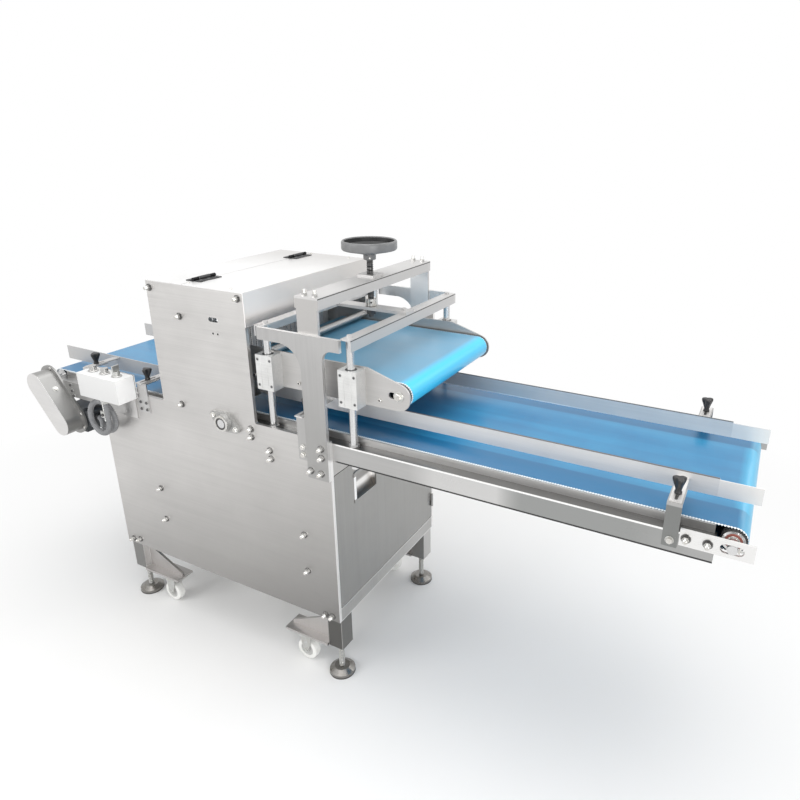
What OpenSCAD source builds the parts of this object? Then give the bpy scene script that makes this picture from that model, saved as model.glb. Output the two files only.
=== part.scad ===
// Bread slicer: infeed belt, liftable press belt, blade tower and outfeed belt on one frame.
// X runs along the bread path towards the infeed end, Y runs across it, Z is up.
// Inside the file x = 0 is the infeed edge of the side plates and y = 0 the near plate's outer face.

/* [Body] */
// Width over the two side plates
body_w = 560; // [540:5:620]
// Length of the side plates
body_l = 880; // [870:5:940]
// Thickness of the side plates
plate_t = 10; // [8:1:12]
// Height of the plates' lower edge above the floor
plate_bottom_z = 213; // [205:1:225]
// Height of the plates' shoulders
shoulder_z = 783; // [778:1:788]
// Distance from the infeed edge to the blade tower
tower_setback = 246; // [240:1:252]
// Length of the blade tower
tower_l = 350; // [345:1:370]
// Height of the blade tower
tower_z = 1140; // [1132:1:1180]
// Thickness of the cover and panel sheets
sheet_t = 2.5; // [2:0.5:3]

/* [Legs] */
// Width of the square leg tube
leg_w = 50; // [45:1:55]
// Wall of the leg tube
leg_wall = 3; // [2:0.5:5]
// Height of the leg tube's lower end
leg_bottom_z = 107; // [100:1:115]
// Diameter of a levelling foot
foot_d = 76; // [60:1:90]
// Diameter of a castor wheel
castor_d = 70; // [60:1:74]
// Reach of a castor bracket from its leg
castor_reach = 157; // [140:1:180]

/* [Conveyors] */
// Distance from a plate's outer face to the edge of the bread belts
belt_margin = 47; // [45:1:60]
// Thickness of every conveyor belt
belt_t = 2.5; // [2:0.5:3]
// Height of the infeed belt's top face
infeed_z = 797; // [793:1:802]
// Height of the outfeed belt's top face
outfeed_z = 777; // [773:1:781]
// Radius of the bread belts' rollers
roller_r = 25; // [22:0.5:26]
// Distance from the infeed edge to the tail roller
tail_x = 947; // [900:1:980]
// Distance from the infeed edge back to the infeed drive roller
drive_x = 350; // [345:1:355]
// Distance from the plates' outfeed edge to the outfeed drive roller
outfeed_past = 260; // [220:1:300]
// Height of a conveyor rail
rail_h = 52; // [46:1:54]
// Width of a conveyor rail's flanges
rail_flange = 35; // [34:0.5:36]

/* [Bread guides] */
// Distance from a plate's outer face to a bread guide's inner face
guide_margin = 122; // [115:1:140]
// Height of an infeed guide
guide_h = 42; // [36:1:44]
// Travel of a guide each way from its middle
guide_travel = 25; // [10:1:30]
// Diameter of a clamp knob
knob_d = 30; // [24:1:32]

/* [Press] */
// Diameter of a lifting post
post_d = 20; // [16:1:22]
// Distance of the infeed side posts outside the plates' edge
post_x = 60; // [56:1:66]
// Spacing of the posts along the bread path
post_gap = 260; // [250:1:270]
// Height of the press rollers' axes at rest
press_z = 927; // [922:1:940]
// Radius of the press rollers
press_r = 28.5; // [26:0.5:30]
// Distance from a plate's outer face to the edge of the press belt
press_margin = 61; // [56:1:70]
// Diameter of the lifting screw
screw_d = 16; // [12:1:20]
// Diameter of the handwheel
wheel_d = 150; // [120:5:200]

/* [Blades] */
// Pitch of the blades in one frame
blade_pitch = 20; // [16:1:26]
// Width of a blade
blade_w = 13; // [10:1:14]
// Throw of the crank pins
crank_r = 25; // [20:1:28]

/* [Control box] */
// Length of the control box
box_l = 174; // [160:1:180]
// Depth of the control box
box_d = 67; // [60:1:80]
// Height of the control box
box_h = 75; // [65:1:85]

/* [Hidden] */
$fn = 64;

// Fits and cuts
overrun = 1;
running_gap = 0.05;
skin_gap = 0.3;
face_gap = 0.3;
panel_gap = 1;

// Colours
steel = "#c6c7c6";
bright = "#d9dadb";
dark = "#4b4d50";
black = "#1d1e20";
white = "#eef0f0";
belt_blue = "#2f86c9";
silver = "#c9cbcc";

// Tower and plate places
tower_x1 = -tower_setback;
tower_x0 = tower_x1 - tower_l;
mid_y = body_w / 2;
inner_y = plate_t;

// Conveyor places
belt_w = body_w - 2 * belt_margin;
belt_y0 = belt_margin;
outfeed_x = body_l + outfeed_past;
infeed_axis_z = infeed_z - belt_t - roller_r;
outfeed_axis_z = outfeed_z - belt_t - roller_r;
belt_r = roller_r + belt_t;
rail_t = 2.5;
rail_drop = 20;
infeed_rail_z = infeed_z - rail_drop;
outfeed_rail_z = outfeed_z - rail_drop;
rail_inset = 20;
infeed_rail_x0 = rail_inset - drive_x;
rail_end_gap = 31;
infeed_rail_x1 = tail_x - rail_end_gap;
nose_in = 76;
nose_x = -tower_x0 - nose_in;
outfeed_rail_x1 = roller_r / 2 - nose_x;
outfeed_rail_x0 = rail_end_gap / 3 - outfeed_x;
shaft_d = 20;
drive_shaft_d = 25;
takeup_t = 6;
takeup_l = 138;
takeup_h = 37;
takeup_past = 41;
takeup_x1 = tail_x + takeup_past;
tail_ring_l = 10;

// Press places
press_y0 = press_margin;
press_belt_r = press_r + belt_t;
press_plate_t = 5;
press_side_gap = 12;
press_plate_y = press_y0 - press_plate_t - press_side_gap;
block_l = 54;
block_d = 39;
block_h = 96;
block_drop = 40;
block_z = press_z - block_drop;
post_y = press_plate_y - block_d / 2;
post_xs = [post_x, post_x - post_gap];
post_top_z = 1060;
post_bottom_z = 715;
bush_wall = 1.5;
bush_rim = 2.5;
bush_d = post_d + 2 * bush_wall;
bush_collar_d = bush_d + 2 * bush_rim;
bush_collar_h = 4;
bush_l = 24;
press_front_x = 181;
press_rear_x = -300;
press_shaft_d = 16;
angle_w = 30;
angle_t = 4;
bar_w = 40;
bar_t = 8;
bar_z = post_top_z + angle_t;
screw_x = -45;

// Gantry places
tee_t = 10;
tee_stem_w = 67;
tee_top_z = 1063;
tee_bottom_z = 672;
tee_arm_h = 32;
tee_left = 200;
tee_right = 52;
tee_fillet_left = 65;
tee_fillet_right = 28;
ear_w = 62;
ear_t = 8;
ear_bottom_z = 985;
beam_z = 1150;
beam_t = 4;
beam_lip = 25;
nut_w = 52;
nut_h = 8;

// Blade places
blade_x = [-421, -459];
frame_t = 12;
frame_rail_w = 16;
frame_rail_gap = 10;
frame_top_z = 1105;
frame_bottom_z = 640;
frame_bar_h = 20;
blade_t = 1;
blade_side = 30;
blade_count = floor((belt_w - 2 * blade_side) / blade_pitch);
guide_strip_w = 14;
crank_x = -440;
crank_z = 430;
crank_pin_d = 16;
crank_pin_play = 1;
crank_disc_d = 84;
crank_disc_t = 12;
crank_disc_from_mid = 99;
crank_disc_y = mid_y - crank_disc_from_mid;
crank_shaft_d = 25;
fork_t = 12;
fork_w = 30;
fork_end = 30;
crank_pulley_r = 75;
motor_pulley_r = 30;
pulley_w = 24;
motor_from_crank = 200;
motor_x = crank_x - motor_from_crank;
motor_z = 406;
motor_r = 70;
motor_y0 = 60;
motor_shaft_l = 30;
motor_l = mid_y - motor_y0 - motor_shaft_l;
shelf_t = 6;

// Outfeed drive places
guard_high = [-outfeed_x, outfeed_axis_z];
guard_run = 93;
guard_drop = 121.5;
guard_low = guard_high + [guard_run, -guard_drop];
gear_w = 84;
guard_r = 38;
guard_face_y = -50;
guard_plate_y = 4;
guard_rim = 12;
sprocket_r = 22;
sprocket_t = 12;
sprocket_y = -29;
timing_t = 3;

// Guide bracket table: place along x, stud place across y, strip width, face y, foot z, seat z
bracket_t = 3;
infeed_seat_rise = 43;
outfeed_seat_rise = 46;
infeed_seat_z = infeed_z + infeed_seat_rise;
outfeed_seat_z = outfeed_z + outfeed_seat_rise;
outer_stud_y = 45;
inner_stud_y = 22;
bracket_reach = 30;
bracket_from_tail = 115;
infeed_outer_x = tail_x - bracket_from_tail;
infeed_inner_x = -84;
outfeed_bracket_past = 64;
outfeed_bracket_gap = 84;
outfeed_outer_x = -body_l - outfeed_bracket_past;
outfeed_inner_x = tower_x0 - outfeed_bracket_gap;
bracket_w = 30;
wide_bracket_w = 40;
rail_foot_drop = 37;
plate_foot_drop = 62;
shoulder_foot_drop = 27;
rail_foot_z = infeed_rail_z - rail_foot_drop;
plate_foot_z = infeed_rail_z - plate_foot_drop;
outfeed_rail_foot_z = outfeed_rail_z - rail_foot_drop;
outfeed_plate_foot_z = outfeed_rail_z - shoulder_foot_drop;
BRACKETS = [
    [infeed_outer_x, outer_stud_y, bracket_w, inner_y, rail_foot_z, infeed_seat_z],
    [infeed_inner_x, inner_stud_y, bracket_w, 0, plate_foot_z, infeed_seat_z],
    [outfeed_outer_x, outer_stud_y, bracket_w, inner_y, outfeed_rail_foot_z, outfeed_seat_z],
    [outfeed_inner_x, inner_stud_y, wide_bracket_w, 0, outfeed_plate_foot_z, outfeed_seat_z]
];
arm_w = 24;
stud_d = 6;
guide_t = 3;
guide_y = guide_margin;
infeed_guide_rise = 19;
outfeed_guide_rise = 6;
infeed_guide_z = infeed_z + infeed_guide_rise;
outfeed_guide_z = outfeed_z + outfeed_guide_rise;
outfeed_guide_h = 46;
infeed_guide_x0 = -330;
guide_end_back = 45;
infeed_guide_x1 = tail_x - guide_end_back;
guide_tip_l = 84;
outfeed_guide_past = 58;
outfeed_guide_x0 = -outfeed_x - outfeed_guide_past;
guide_tower_gap = 9;
outfeed_guide_x1 = tower_x0 - guide_tower_gap;
knob_h = 36;
knob_neck_d = 16;
knob_lobe_share = 0.62;

// Leg places
leg_gap = 0.8;
leg_front_x = -sheet_t - leg_gap;
leg_back_x = -body_l + sheet_t + leg_gap;
leg_top_z = 700;
tie_w = 40;
bracket_plate_t = 7;
bracket_plate_w = 64;
gusset_t = 8;
gusset_h = 76;
stud_foot_d = 16;
foot_hub_d = 46;
foot_rim_h = 12;
foot_hub_z = 22;
castor_lift = 2;
castor_t = 25;
castor_axle_d = 10;
fork_sheet = 3;
fork_l = 46;

// Panel places
base_strip_h = 44;
door_top_z = 680;
door_gap = 1;
door_low_z = plate_bottom_z + base_strip_h + door_gap * 2;
head_strip_z = door_top_z + door_gap * 2;
head_strip_h = 40;
pull_y = 104;
pull_w = 104;
pull_z = 559;
pull_h = 82;
pull_depth = 16;
pull_rim = 8;
pull_rim_t = 2;
lip_h = 88;
roof_strip_l = 139;
lip_z = tower_z - lip_h;
seam_x = tower_x0 + roof_strip_l;
rear_wall_h = 155;
hinge_r = 5;
hinge_pin_d = 4;
hinge_l = 80;
hinge_leaf = 26;
hinge_leaf_t = 2;
hinge_from_edge = 80;
hinge_ys = [hinge_from_edge, body_w - hinge_from_edge];
door_hinge_r = 4;
door_hinge_l = 48;
door_hinge_in = 70;
door_hinge_stand = 0.5;
door_hinge_edge = 5;
door_hinge_zs = [door_low_z + door_hinge_in, door_top_z - door_hinge_in];
door_hinge_x = door_hinge_r + door_hinge_stand;
door_hinge_y = body_w - plate_t - door_hinge_edge;

// Control box places
box_end_gap = 3;
box_x0 = -body_l + box_end_gap;
box_standoff = 3;
box_back_y = -box_standoff;
box_z = 770;
bezel_d = 30;
bezel_h = 4;
button_d = 22;
button_h = 17;
button_travel = 3;
control_shares = [0.2, 0.5, 0.8];
control_y = box_back_y - box_d / 2;

// Conduit route: down from the box, one and a quarter loops, then across to the gearmotor
conduit_r = 8;
conduit_rib = 1.2;
conduit_bore_r = 5.5;
conduit_pitch = 5;
conduit_front_gap = 18;
conduit_start = [box_x0 + box_l / 2, box_back_y - box_d + conduit_front_gap, box_z];
loop_r = 50;
loop_z = 695;
loop_step = 22;
terminal_l = 30;
terminal_y = 34;
terminal_rise = 12;
conduit_end = [guard_low.x + gear_w / 2 + terminal_l, terminal_y, guard_low.y + terminal_rise];

// Overall place: the origin is the middle of the footprint, on the floor
x_low = outfeed_guide_x0;
x_high = takeup_x1;
bearing_h = 22;
y_low = box_back_y - box_d;
y_high = body_w + bearing_h;
module home() translate([-(x_low + x_high) / 2, -(y_low + y_high) / 2, 0]) children();

// Shared shapes

module span(low, high) translate(low) cube(high - low);

module rod_y(x, z, r, y0, y1) translate([x, y0, z]) rotate([-90, 0, 0]) cylinder(r = r, h = y1 - y0);

module rod_z(x, y, r, z0, z1) translate([x, y, z0]) cylinder(r = r, h = z1 - z0);

module hex_y(x, z, r, y0, y1) translate([x, y0, z]) rotate([-90, 0, 0]) cylinder(r = r, h = y1 - y0, $fn = 6);

module hex_z(x, y, r, z0, z1) translate([x, y, z0]) cylinder(r = r, h = z1 - z0, $fn = 6);

// An outline in x and z, from y0 to y1
module across(y0, y1) translate([0, y1, 0]) rotate([90, 0, 0]) linear_extrude(y1 - y0) children();

// An outline in y and z, from x0 to x1
module along(x0, x1) translate([x0, 0, 0]) rotate([90, 0, 90]) linear_extrude(x1 - x0) children();

module far_side() translate([0, body_w, 0]) mirror([0, 1, 0]) children();

module both_sides() {
    children();
    far_side() children();
}

module slot2d(x0, x1, z, r) {
    translate([x0, z]) circle(r = r);
    translate([x1, z]) circle(r = r);
    translate([x0, z - r]) square([x1 - x0, 2 * r]);
}

module rounded2d(w, h, r) {
    translate([r, 0]) square([w - 2 * r, h]);
    translate([0, r]) square([w, h - 2 * r]);
    for (x = [r, w - r], z = [r, h - r]) translate([x, z]) circle(r = r);
}

function unit(v) = v / norm(v);
function turned(v, a) = [v.x * cos(a) - v.y * sin(a), v.x * sin(a) + v.y * cos(a)];

// Outline of a band pulled tight round two pulleys
module band2d(c1, r1, c2, r2) {
    dir = unit(c2 - c1);
    lean = acos((r1 - r2) / norm(c2 - c1));
    up = turned(dir, lean);
    down = turned(dir, -lean);
    translate(c1) circle(r = r1);
    translate(c2) circle(r = r2);
    polygon([c1 + up * r1, c1 + down * r1, c2 + down * r2, c2 + up * r2]);
}

module loop_band(c1, r1, c2, r2, t, y0, y1) across(y0, y1) difference() {
    band2d(c1, r1 + t, c2, r2 + t);
    band2d(c1, r1, c2, r2);
}

// Side plates

bolt_r = 7.5;
bolt_h = 6;
washer_r = 10;
washer_t = 1.5;
// Shares of the tower's length and height
tower_bolt_shares = [[0.966, 0.983], [0.051, 0.987], [0.672, 0.923], [0.783, 0.69], [0.049, 0.67],
    [0.051, 0.649]];
// Shares of the plate's length and of the shoulder's height
plate_bolt_shares = [
    [0.2295, 0.91], [0.2275, 0.879], [0.763, 0.6], [0.76, 0.4585], [0.12, 0.607],
    [0.117, 0.4555], [0.968, 0.291], [0.93, 0.3], [0.056, 0.288], [0.029, 0.29]
];
tension_slot_x = -356;
tension_slot_z = 1058;
tension_slot_l = 22;
tension_slot_r = 6;
tension_hole_r = 3;
tension_hole_z = 1020;
tension_hole_gap = 17;
shaft_hole_r = 17;
tower_fillet = 6;

module plate_outline() {
    translate([-body_l, plate_bottom_z]) square([body_l, shoulder_z - plate_bottom_z]);
    translate([tower_x0, plate_bottom_z]) square([tower_l, tower_z - plate_bottom_z]);
    for (side = [[tower_x0, -1], [tower_x1, 1]]) translate([side[0], shoulder_z]) difference() {
        translate([min(0, side[1] * tower_fillet), 0]) square(tower_fillet);
        translate([side[1] * tower_fillet, tower_fillet]) circle(r = tower_fillet);
    }
}

module side_plate() across(0, plate_t) difference() {
    plate_outline();
    translate([-drive_x, infeed_axis_z]) circle(r = shaft_hole_r);
    slot2d(tension_slot_x - tension_slot_l / 2, tension_slot_x + tension_slot_l / 2, tension_slot_z,
        tension_slot_r);
    for (i = [0, 1]) translate([tension_slot_x - tension_slot_r + i * tension_hole_gap, tension_hole_z])
        circle(r = tension_hole_r);
}

module side_plate_near() color(steel) home() side_plate();

module side_plate_far() color(steel) home() far_side() side_plate();

// Legs, castor brackets and the motor shelf

module leg_tube(x0) difference() {
    span([x0, inner_y, leg_bottom_z], [x0 + leg_w, inner_y + leg_w, leg_top_z]);
    span([x0 + leg_wall, inner_y + leg_wall, leg_bottom_z + bracket_plate_t],
         [x0 + leg_w - leg_wall, inner_y + leg_w - leg_wall, leg_top_z + overrun]);
    rod_z(x0 + leg_w / 2, inner_y + leg_w / 2, stud_foot_d / 2, leg_bottom_z - overrun,
          leg_bottom_z + bracket_plate_t + overrun);
}

// One bracket: plate and gusset reaching from a leg's face at x0, towards dir
module castor_bracket(x0, dir) {
    leg_mid_y = inner_y + leg_w / 2;
    end_x = x0 + dir * castor_reach;
    span([min(x0, end_x), leg_mid_y - bracket_plate_w / 2, leg_bottom_z],
         [max(x0, end_x), leg_mid_y + bracket_plate_w / 2, leg_bottom_z + bracket_plate_t]);
    across(leg_mid_y - gusset_t / 2, leg_mid_y + gusset_t / 2) polygon([
        [x0, leg_bottom_z + bracket_plate_t],
        [x0 + dir * (castor_reach - gusset_t), leg_bottom_z + bracket_plate_t],
        [x0 + dir * (castor_reach - gusset_t), leg_bottom_z + bracket_plate_t + gusset_t],
        [x0 + dir * gusset_t, leg_bottom_z + bracket_plate_t + gusset_h],
        [x0, leg_bottom_z + bracket_plate_t + gusset_h]
    ]);
}

motor_foot_h = 16;
shelf_z = motor_z - motor_r - motor_foot_h;
shelf_l = 180;
shelf_wing_h = 160;

module motor_shelf() {
    span([motor_x - shelf_l / 2, inner_y, shelf_z - shelf_t], [motor_x + shelf_l / 2, body_w - inner_y,
        shelf_z]);
    both_sides() span([motor_x - shelf_l / 2, inner_y, shelf_z],
                      [motor_x + shelf_l / 2, inner_y + shelf_t, shelf_z + shelf_wing_h]);
}

module leg_frame() color(bright) home() {
    both_sides() {
        leg_tube(leg_front_x - leg_w);
        leg_tube(leg_back_x);
        castor_bracket(leg_front_x - leg_w, -1);
        castor_bracket(leg_back_x + leg_w, 1);
    }
    for (x0 = [leg_front_x - leg_w, leg_back_x + leg_w - tie_w])
        span([x0, inner_y + leg_w, plate_bottom_z + sheet_t],
             [x0 + tie_w, body_w - inner_y - leg_w, plate_bottom_z + sheet_t + tie_w]);
    motor_shelf();
}

leg_axis_y = inner_y + leg_w / 2;
foot_xs = [leg_front_x - leg_w / 2, leg_back_x + leg_w / 2];
foot_stud_in = 40;
foot_stud_top = leg_bottom_z + foot_stud_in;
lock_nut_r = 15;
lock_nut_h = 10;

module levelling_foot(x) {
    rod_z(x, leg_axis_y, foot_d / 2, 0, foot_rim_h);
    translate([x, leg_axis_y, foot_rim_h]) cylinder(r1 = foot_d / 2, r2 = foot_hub_d / 2,
        h = foot_hub_z - foot_rim_h);
    rod_z(x, leg_axis_y, stud_foot_d / 2 - running_gap, foot_hub_z, foot_stud_top);
    difference() {
        hex_z(x, leg_axis_y, lock_nut_r, leg_bottom_z - lock_nut_h, leg_bottom_z);
        rod_z(x, leg_axis_y, stud_foot_d / 2 - running_gap, leg_bottom_z - lock_nut_h - overrun,
            leg_bottom_z + overrun);
    }
}

module levelling_feet() color(dark) home() both_sides() for (x = foot_xs) levelling_foot(x);

// Castors

castor_from_leg = 97;
castor_xs = [leg_front_x - leg_w - castor_from_leg, leg_back_x + leg_w + castor_from_leg];
castor_z = castor_lift + castor_d / 2;
fork_gap = castor_t + 2 * panel_gap;
fork_head = 7;

module castor_fork(x) {
    span([x - fork_l / 2, leg_axis_y - fork_gap / 2 - fork_sheet, leg_bottom_z - fork_head],
         [x + fork_l / 2, leg_axis_y + fork_gap / 2 + fork_sheet, leg_bottom_z]);
    for (y0 = [leg_axis_y - fork_gap / 2 - fork_sheet, leg_axis_y + fork_gap / 2])
        across(y0, y0 + fork_sheet) {
            translate([x, castor_z]) circle(r = castor_axle_d);
            polygon([[x - fork_l / 2, leg_bottom_z - fork_head], [x + fork_l / 2, leg_bottom_z - fork_head],
                     [x + castor_axle_d, castor_z], [x - castor_axle_d, castor_z]]);
        }
    rod_y(x, castor_z, castor_axle_d / 2, leg_axis_y - fork_gap / 2 - 2 * fork_sheet,
          leg_axis_y + fork_gap / 2 + 2 * fork_sheet);
}

module castor_forks() color(bright) home() both_sides() for (x = castor_xs) castor_fork(x);

castor_edge = 4;
module castor_wheel(x) translate([x, leg_axis_y, castor_z]) rotate([90, 0, 0]) difference() {
    rotate_extrude() polygon([
        [0, -castor_t / 2], [castor_d / 2 - castor_edge, -castor_t / 2], [castor_d / 2,
            castor_edge - castor_t / 2],
        [castor_d / 2, castor_t / 2 - castor_edge], [castor_d / 2 - castor_edge, castor_t / 2], [0,
            castor_t / 2]
    ]);
    translate([0, 0, -castor_t]) cylinder(r = castor_axle_d / 2 + running_gap, h = 2 * castor_t);
}

module near_wheel(i) color(white) home() castor_wheel(castor_xs[i]);

module far_wheel(i) color(white) home() far_side() castor_wheel(castor_xs[i]);

// Cabinet and tower sheets

module end_sheet(x0, z0, z1) span([x0, inner_y, z0], [x0 + sheet_t, body_w - inner_y, z1]);

module cabinet_panels() color(steel) home() {
    end_sheet(-sheet_t, plate_bottom_z, plate_bottom_z + base_strip_h);
    end_sheet(-sheet_t, head_strip_z, head_strip_z + head_strip_h);
    end_sheet(-body_l, plate_bottom_z, leg_top_z);
    span([leg_back_x, inner_y + leg_w, plate_bottom_z], [leg_front_x, body_w - inner_y - leg_w,
        plate_bottom_z + sheet_t]);
}

module tower_panels() color(steel) home() {
    span([tower_x0, 0, tower_z], [seam_x - panel_gap, body_w, tower_z + sheet_t]);
    span([tower_x0, inner_y, tower_z - rear_wall_h], [tower_x0 + sheet_t, body_w - inner_y, tower_z]);
}

cover_hinge_z = tower_z + sheet_t + hinge_r;
hinge_split = 3;

// One knuckle along y with its leaf, running from y0 to y1 on the side dir of the seam
module cover_knuckle(y0, y1, dir) difference() {
    union() {
        rod_y(seam_x, cover_hinge_z, hinge_r, y0, y1);
        span([seam_x + min(0, dir * hinge_leaf), y0, cover_hinge_z - hinge_r],
             [seam_x + max(0, dir * hinge_leaf), y1, cover_hinge_z - hinge_r + hinge_leaf_t]);
    }
    rod_y(seam_x, cover_hinge_z, hinge_pin_d / 2 + running_gap, y0 - overrun, y1 + overrun);
}

module door_knuckle(z0, z1, dir) difference() {
    union() {
        rod_z(door_hinge_x, door_hinge_y, door_hinge_r, z0, z1);
        span([0, door_hinge_y + min(0, dir * hinge_leaf / 2), z0],
             [hinge_leaf_t, door_hinge_y + max(0, dir * hinge_leaf / 2), z1]);
    }
    rod_z(door_hinge_x, door_hinge_y, hinge_pin_d / 2 + running_gap, z0 - overrun, z1 + overrun);
}

module hinge_halves() color(black) home() {
    for (y = hinge_ys) {
        for (y0 = [y - hinge_l / 2, y + hinge_l / 4]) cover_knuckle(y0, y0 + hinge_l / 4, -1);
        rod_y(seam_x, cover_hinge_z, hinge_pin_d / 2, y - hinge_l / 2, y + hinge_l / 2);
    }
    for (z = door_hinge_zs) {
        door_knuckle(z - door_hinge_l / 2, z, 1);
        rod_z(door_hinge_x, door_hinge_y, hinge_pin_d / 2, z - door_hinge_l / 2, z + door_hinge_l / 2);
    }
}

// Service door, a flush sheet with a folded rim and a sunken pull
door_fold = 14;
door_fold_in = 60;

module service_door() color(bright) home() {
    y0 = inner_y + door_gap;
    y1 = body_w - inner_y - door_gap * 2;
    difference() {
        union() {
            span([-sheet_t, y0, door_low_z], [0, y1, door_top_z]);
            for (z = [door_low_z + door_gap, door_top_z - sheet_t])
                span([-door_fold, y0 + door_fold_in, z - door_gap], [-sheet_t, y1 - door_fold_in,
                    z + sheet_t - door_gap]);
        }
        span([-door_fold, pull_y, pull_z], [overrun, pull_y + pull_w, pull_z + pull_h]);
    }
    difference() {
        union() {
            span([-pull_depth, pull_y, pull_z], [0, pull_y + pull_w, pull_z + pull_h]);
            along(0, pull_rim_t) translate([pull_y - pull_rim, pull_z - pull_rim])
                rounded2d(pull_w + 2 * pull_rim, pull_h + 2 * pull_rim, pull_rim);
        }
        span([sheet_t - pull_depth, pull_y + sheet_t, pull_z + sheet_t],
             [pull_rim_t + overrun, pull_y + pull_w - sheet_t, pull_z + pull_h - sheet_t]);
    }
    for (z = door_hinge_zs) door_knuckle(z + face_gap, z + door_hinge_l / 2, -1);
}

// Hinged blade cover: roof and front lip folded from one sheet
module blade_cover() color(steel) home() {
    span([seam_x + panel_gap, 0, tower_z], [tower_x1 + sheet_t, body_w, tower_z + sheet_t]);
    span([tower_x1, 0, lip_z], [tower_x1 + sheet_t, body_w, tower_z]);
    for (y = hinge_ys)
        cover_knuckle(y - hinge_l / 4 + face_gap, y + hinge_l / 4 - face_gap, 1);
}

// Press gantry

tee_bolt_shares = [[0.85, 0.055], [0.36, 0.05]];
tee_rail_bolt_share = 0.3;

module tee_outline() {
    translate([-tee_stem_w, tee_bottom_z]) square([tee_stem_w, tee_top_z - tee_bottom_z]);
    translate([-tee_left, tee_top_z - tee_arm_h]) square([tee_left + tee_right, tee_arm_h]);
    translate([-tee_stem_w - tee_fillet_left, tee_top_z - tee_arm_h - tee_fillet_left]) difference() {
        square(tee_fillet_left);
        circle(r = tee_fillet_left);
    }
    translate([0, tee_top_z - tee_arm_h - tee_fillet_right]) difference() {
        square(tee_fillet_right);
        translate([tee_fillet_right, 0]) circle(r = tee_fillet_right);
    }
}

module tee_brackets() color(steel) home() both_sides() across(-tee_t, 0) tee_outline();

module press_gantry() color(bright) home() {
    both_sides() span([screw_x - ear_w / 2, 0, ear_bottom_z], [screw_x + ear_w / 2, ear_t, beam_z]);
    difference() {
        union() {
            span([screw_x - ear_w / 2 - beam_t, 0, beam_z], [screw_x + ear_w / 2 + beam_t, body_w,
                beam_z + beam_t]);
            for (x0 = [screw_x - ear_w / 2 - beam_t, screw_x + ear_w / 2])
                span([x0, 0, beam_z - beam_lip], [x0 + beam_t, body_w, beam_z]);
        }
        rod_z(screw_x, mid_y, screw_d / 2 + beam_t, beam_z - overrun, beam_z + beam_t + overrun);
    }
    difference() {
        span([screw_x - nut_w / 2, mid_y - nut_w / 2, beam_z + beam_t],
             [screw_x + nut_w / 2, mid_y + nut_w / 2, beam_z + beam_t + nut_h]);
        rod_z(screw_x, mid_y, screw_d / 2 + running_gap, beam_z, beam_z + beam_t + nut_h + overrun);
    }
}

// Conveyor rails, take-up plates and post bushes

// One C rail with its web at y = inner_y, open towards the middle
module rail(x0, x1, top_z) difference() {
    span([x0, inner_y, top_z - rail_h], [x1, inner_y + rail_flange, top_z]);
    span([x0 - overrun, inner_y + rail_t, top_z - rail_h + rail_t], [x1 + overrun, body_w, top_z - rail_t]);
}

module post_bush(x) difference() {
    union() {
        rod_z(x, post_y, bush_collar_d / 2, infeed_rail_z, infeed_rail_z + bush_collar_h);
        rod_z(x, post_y, bush_d / 2, infeed_rail_z - bush_l, infeed_rail_z);
    }
    rod_z(x, post_y, post_d / 2 + running_gap, infeed_rail_z - bush_l - overrun, infeed_rail_z + bush_l);
}

takeup_slot_r = shaft_d / 2 + running_gap;
takeup_slot_l = 24;
end_plate_l = 85;
end_plate_h = 42;

module takeup_plate() across(inner_y - takeup_t, inner_y) difference() {
    translate([takeup_x1 - takeup_l, infeed_axis_z - takeup_h / 2]) square([takeup_l, takeup_h]);
    slot2d(tail_x - takeup_slot_l / 2, tail_x + takeup_slot_l / 2, infeed_axis_z, takeup_slot_r);
}

module outfeed_end_plate() across(inner_y - takeup_t, inner_y) difference() {
    translate([-outfeed_x - end_plate_h / 2, outfeed_axis_z - end_plate_h / 2]) square([end_plate_l,
        end_plate_h]);
    translate([-outfeed_x, outfeed_axis_z]) circle(r = shaft_d / 2 + running_gap);
}

module conveyor_rails() color(bright) home() {
    both_sides() {
        difference() {
            rail(infeed_rail_x0, infeed_rail_x1, infeed_rail_z);
            for (x = post_xs) rod_z(x, post_y, bush_d / 2, infeed_rail_z - rail_h - overrun,
                infeed_rail_z + overrun);
        }
        for (x = post_xs) post_bush(x);
        difference() {
            rail(outfeed_rail_x0, outfeed_rail_x1, outfeed_rail_z);
            rod_y(-nose_x, outfeed_axis_z, shaft_d / 2 + running_gap, inner_y + rail_t, mid_y);
        }
        takeup_plate();
    }
    far_side() outfeed_end_plate();
}

// Beds under the belts' top runs, standing on the rails, and the outfeed nose bar
bed_t = 3;
bed_gap = 5;

module slider_bed(x0, x1, top_z, foot_z) {
    y0 = inner_y + rail_flange - bed_gap;
    span([x0, y0, top_z - bed_t], [x1, body_w - y0, top_z]);
    both_sides() span([x0, y0, foot_z], [x1, y0 + bed_t, top_z - bed_t]);
}

module slider_beds() color(bright) home() {
    slider_bed(infeed_rail_x0 + bed_gap, infeed_rail_x1 - bed_gap, infeed_z - belt_t, infeed_rail_z);
    slider_bed(outfeed_rail_x0 + belt_r, -nose_x - belt_r, outfeed_z - belt_t, outfeed_rail_z);
    rod_y(-nose_x, outfeed_axis_z, roller_r - skin_gap, belt_y0, body_w - belt_y0);
    rod_y(-nose_x, outfeed_axis_z, shaft_d / 2, inner_y + rail_t, body_w - inner_y - rail_t);
}

module conveyor_belts() color(belt_blue) home() {
    loop_band([-drive_x, infeed_axis_z], roller_r, [tail_x, infeed_axis_z], roller_r, belt_t, belt_y0,
        body_w - belt_y0);
    loop_band([-outfeed_x, outfeed_axis_z], roller_r, [-nose_x, outfeed_axis_z], roller_r, belt_t, belt_y0,
              body_w - belt_y0);
}

// Rollers

module roller(x, z, shaft_r, y0, y1) {
    rod_y(x, z, roller_r - skin_gap, belt_y0, body_w - belt_y0);
    rod_y(x, z, shaft_r, y0, y1);
}

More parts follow.
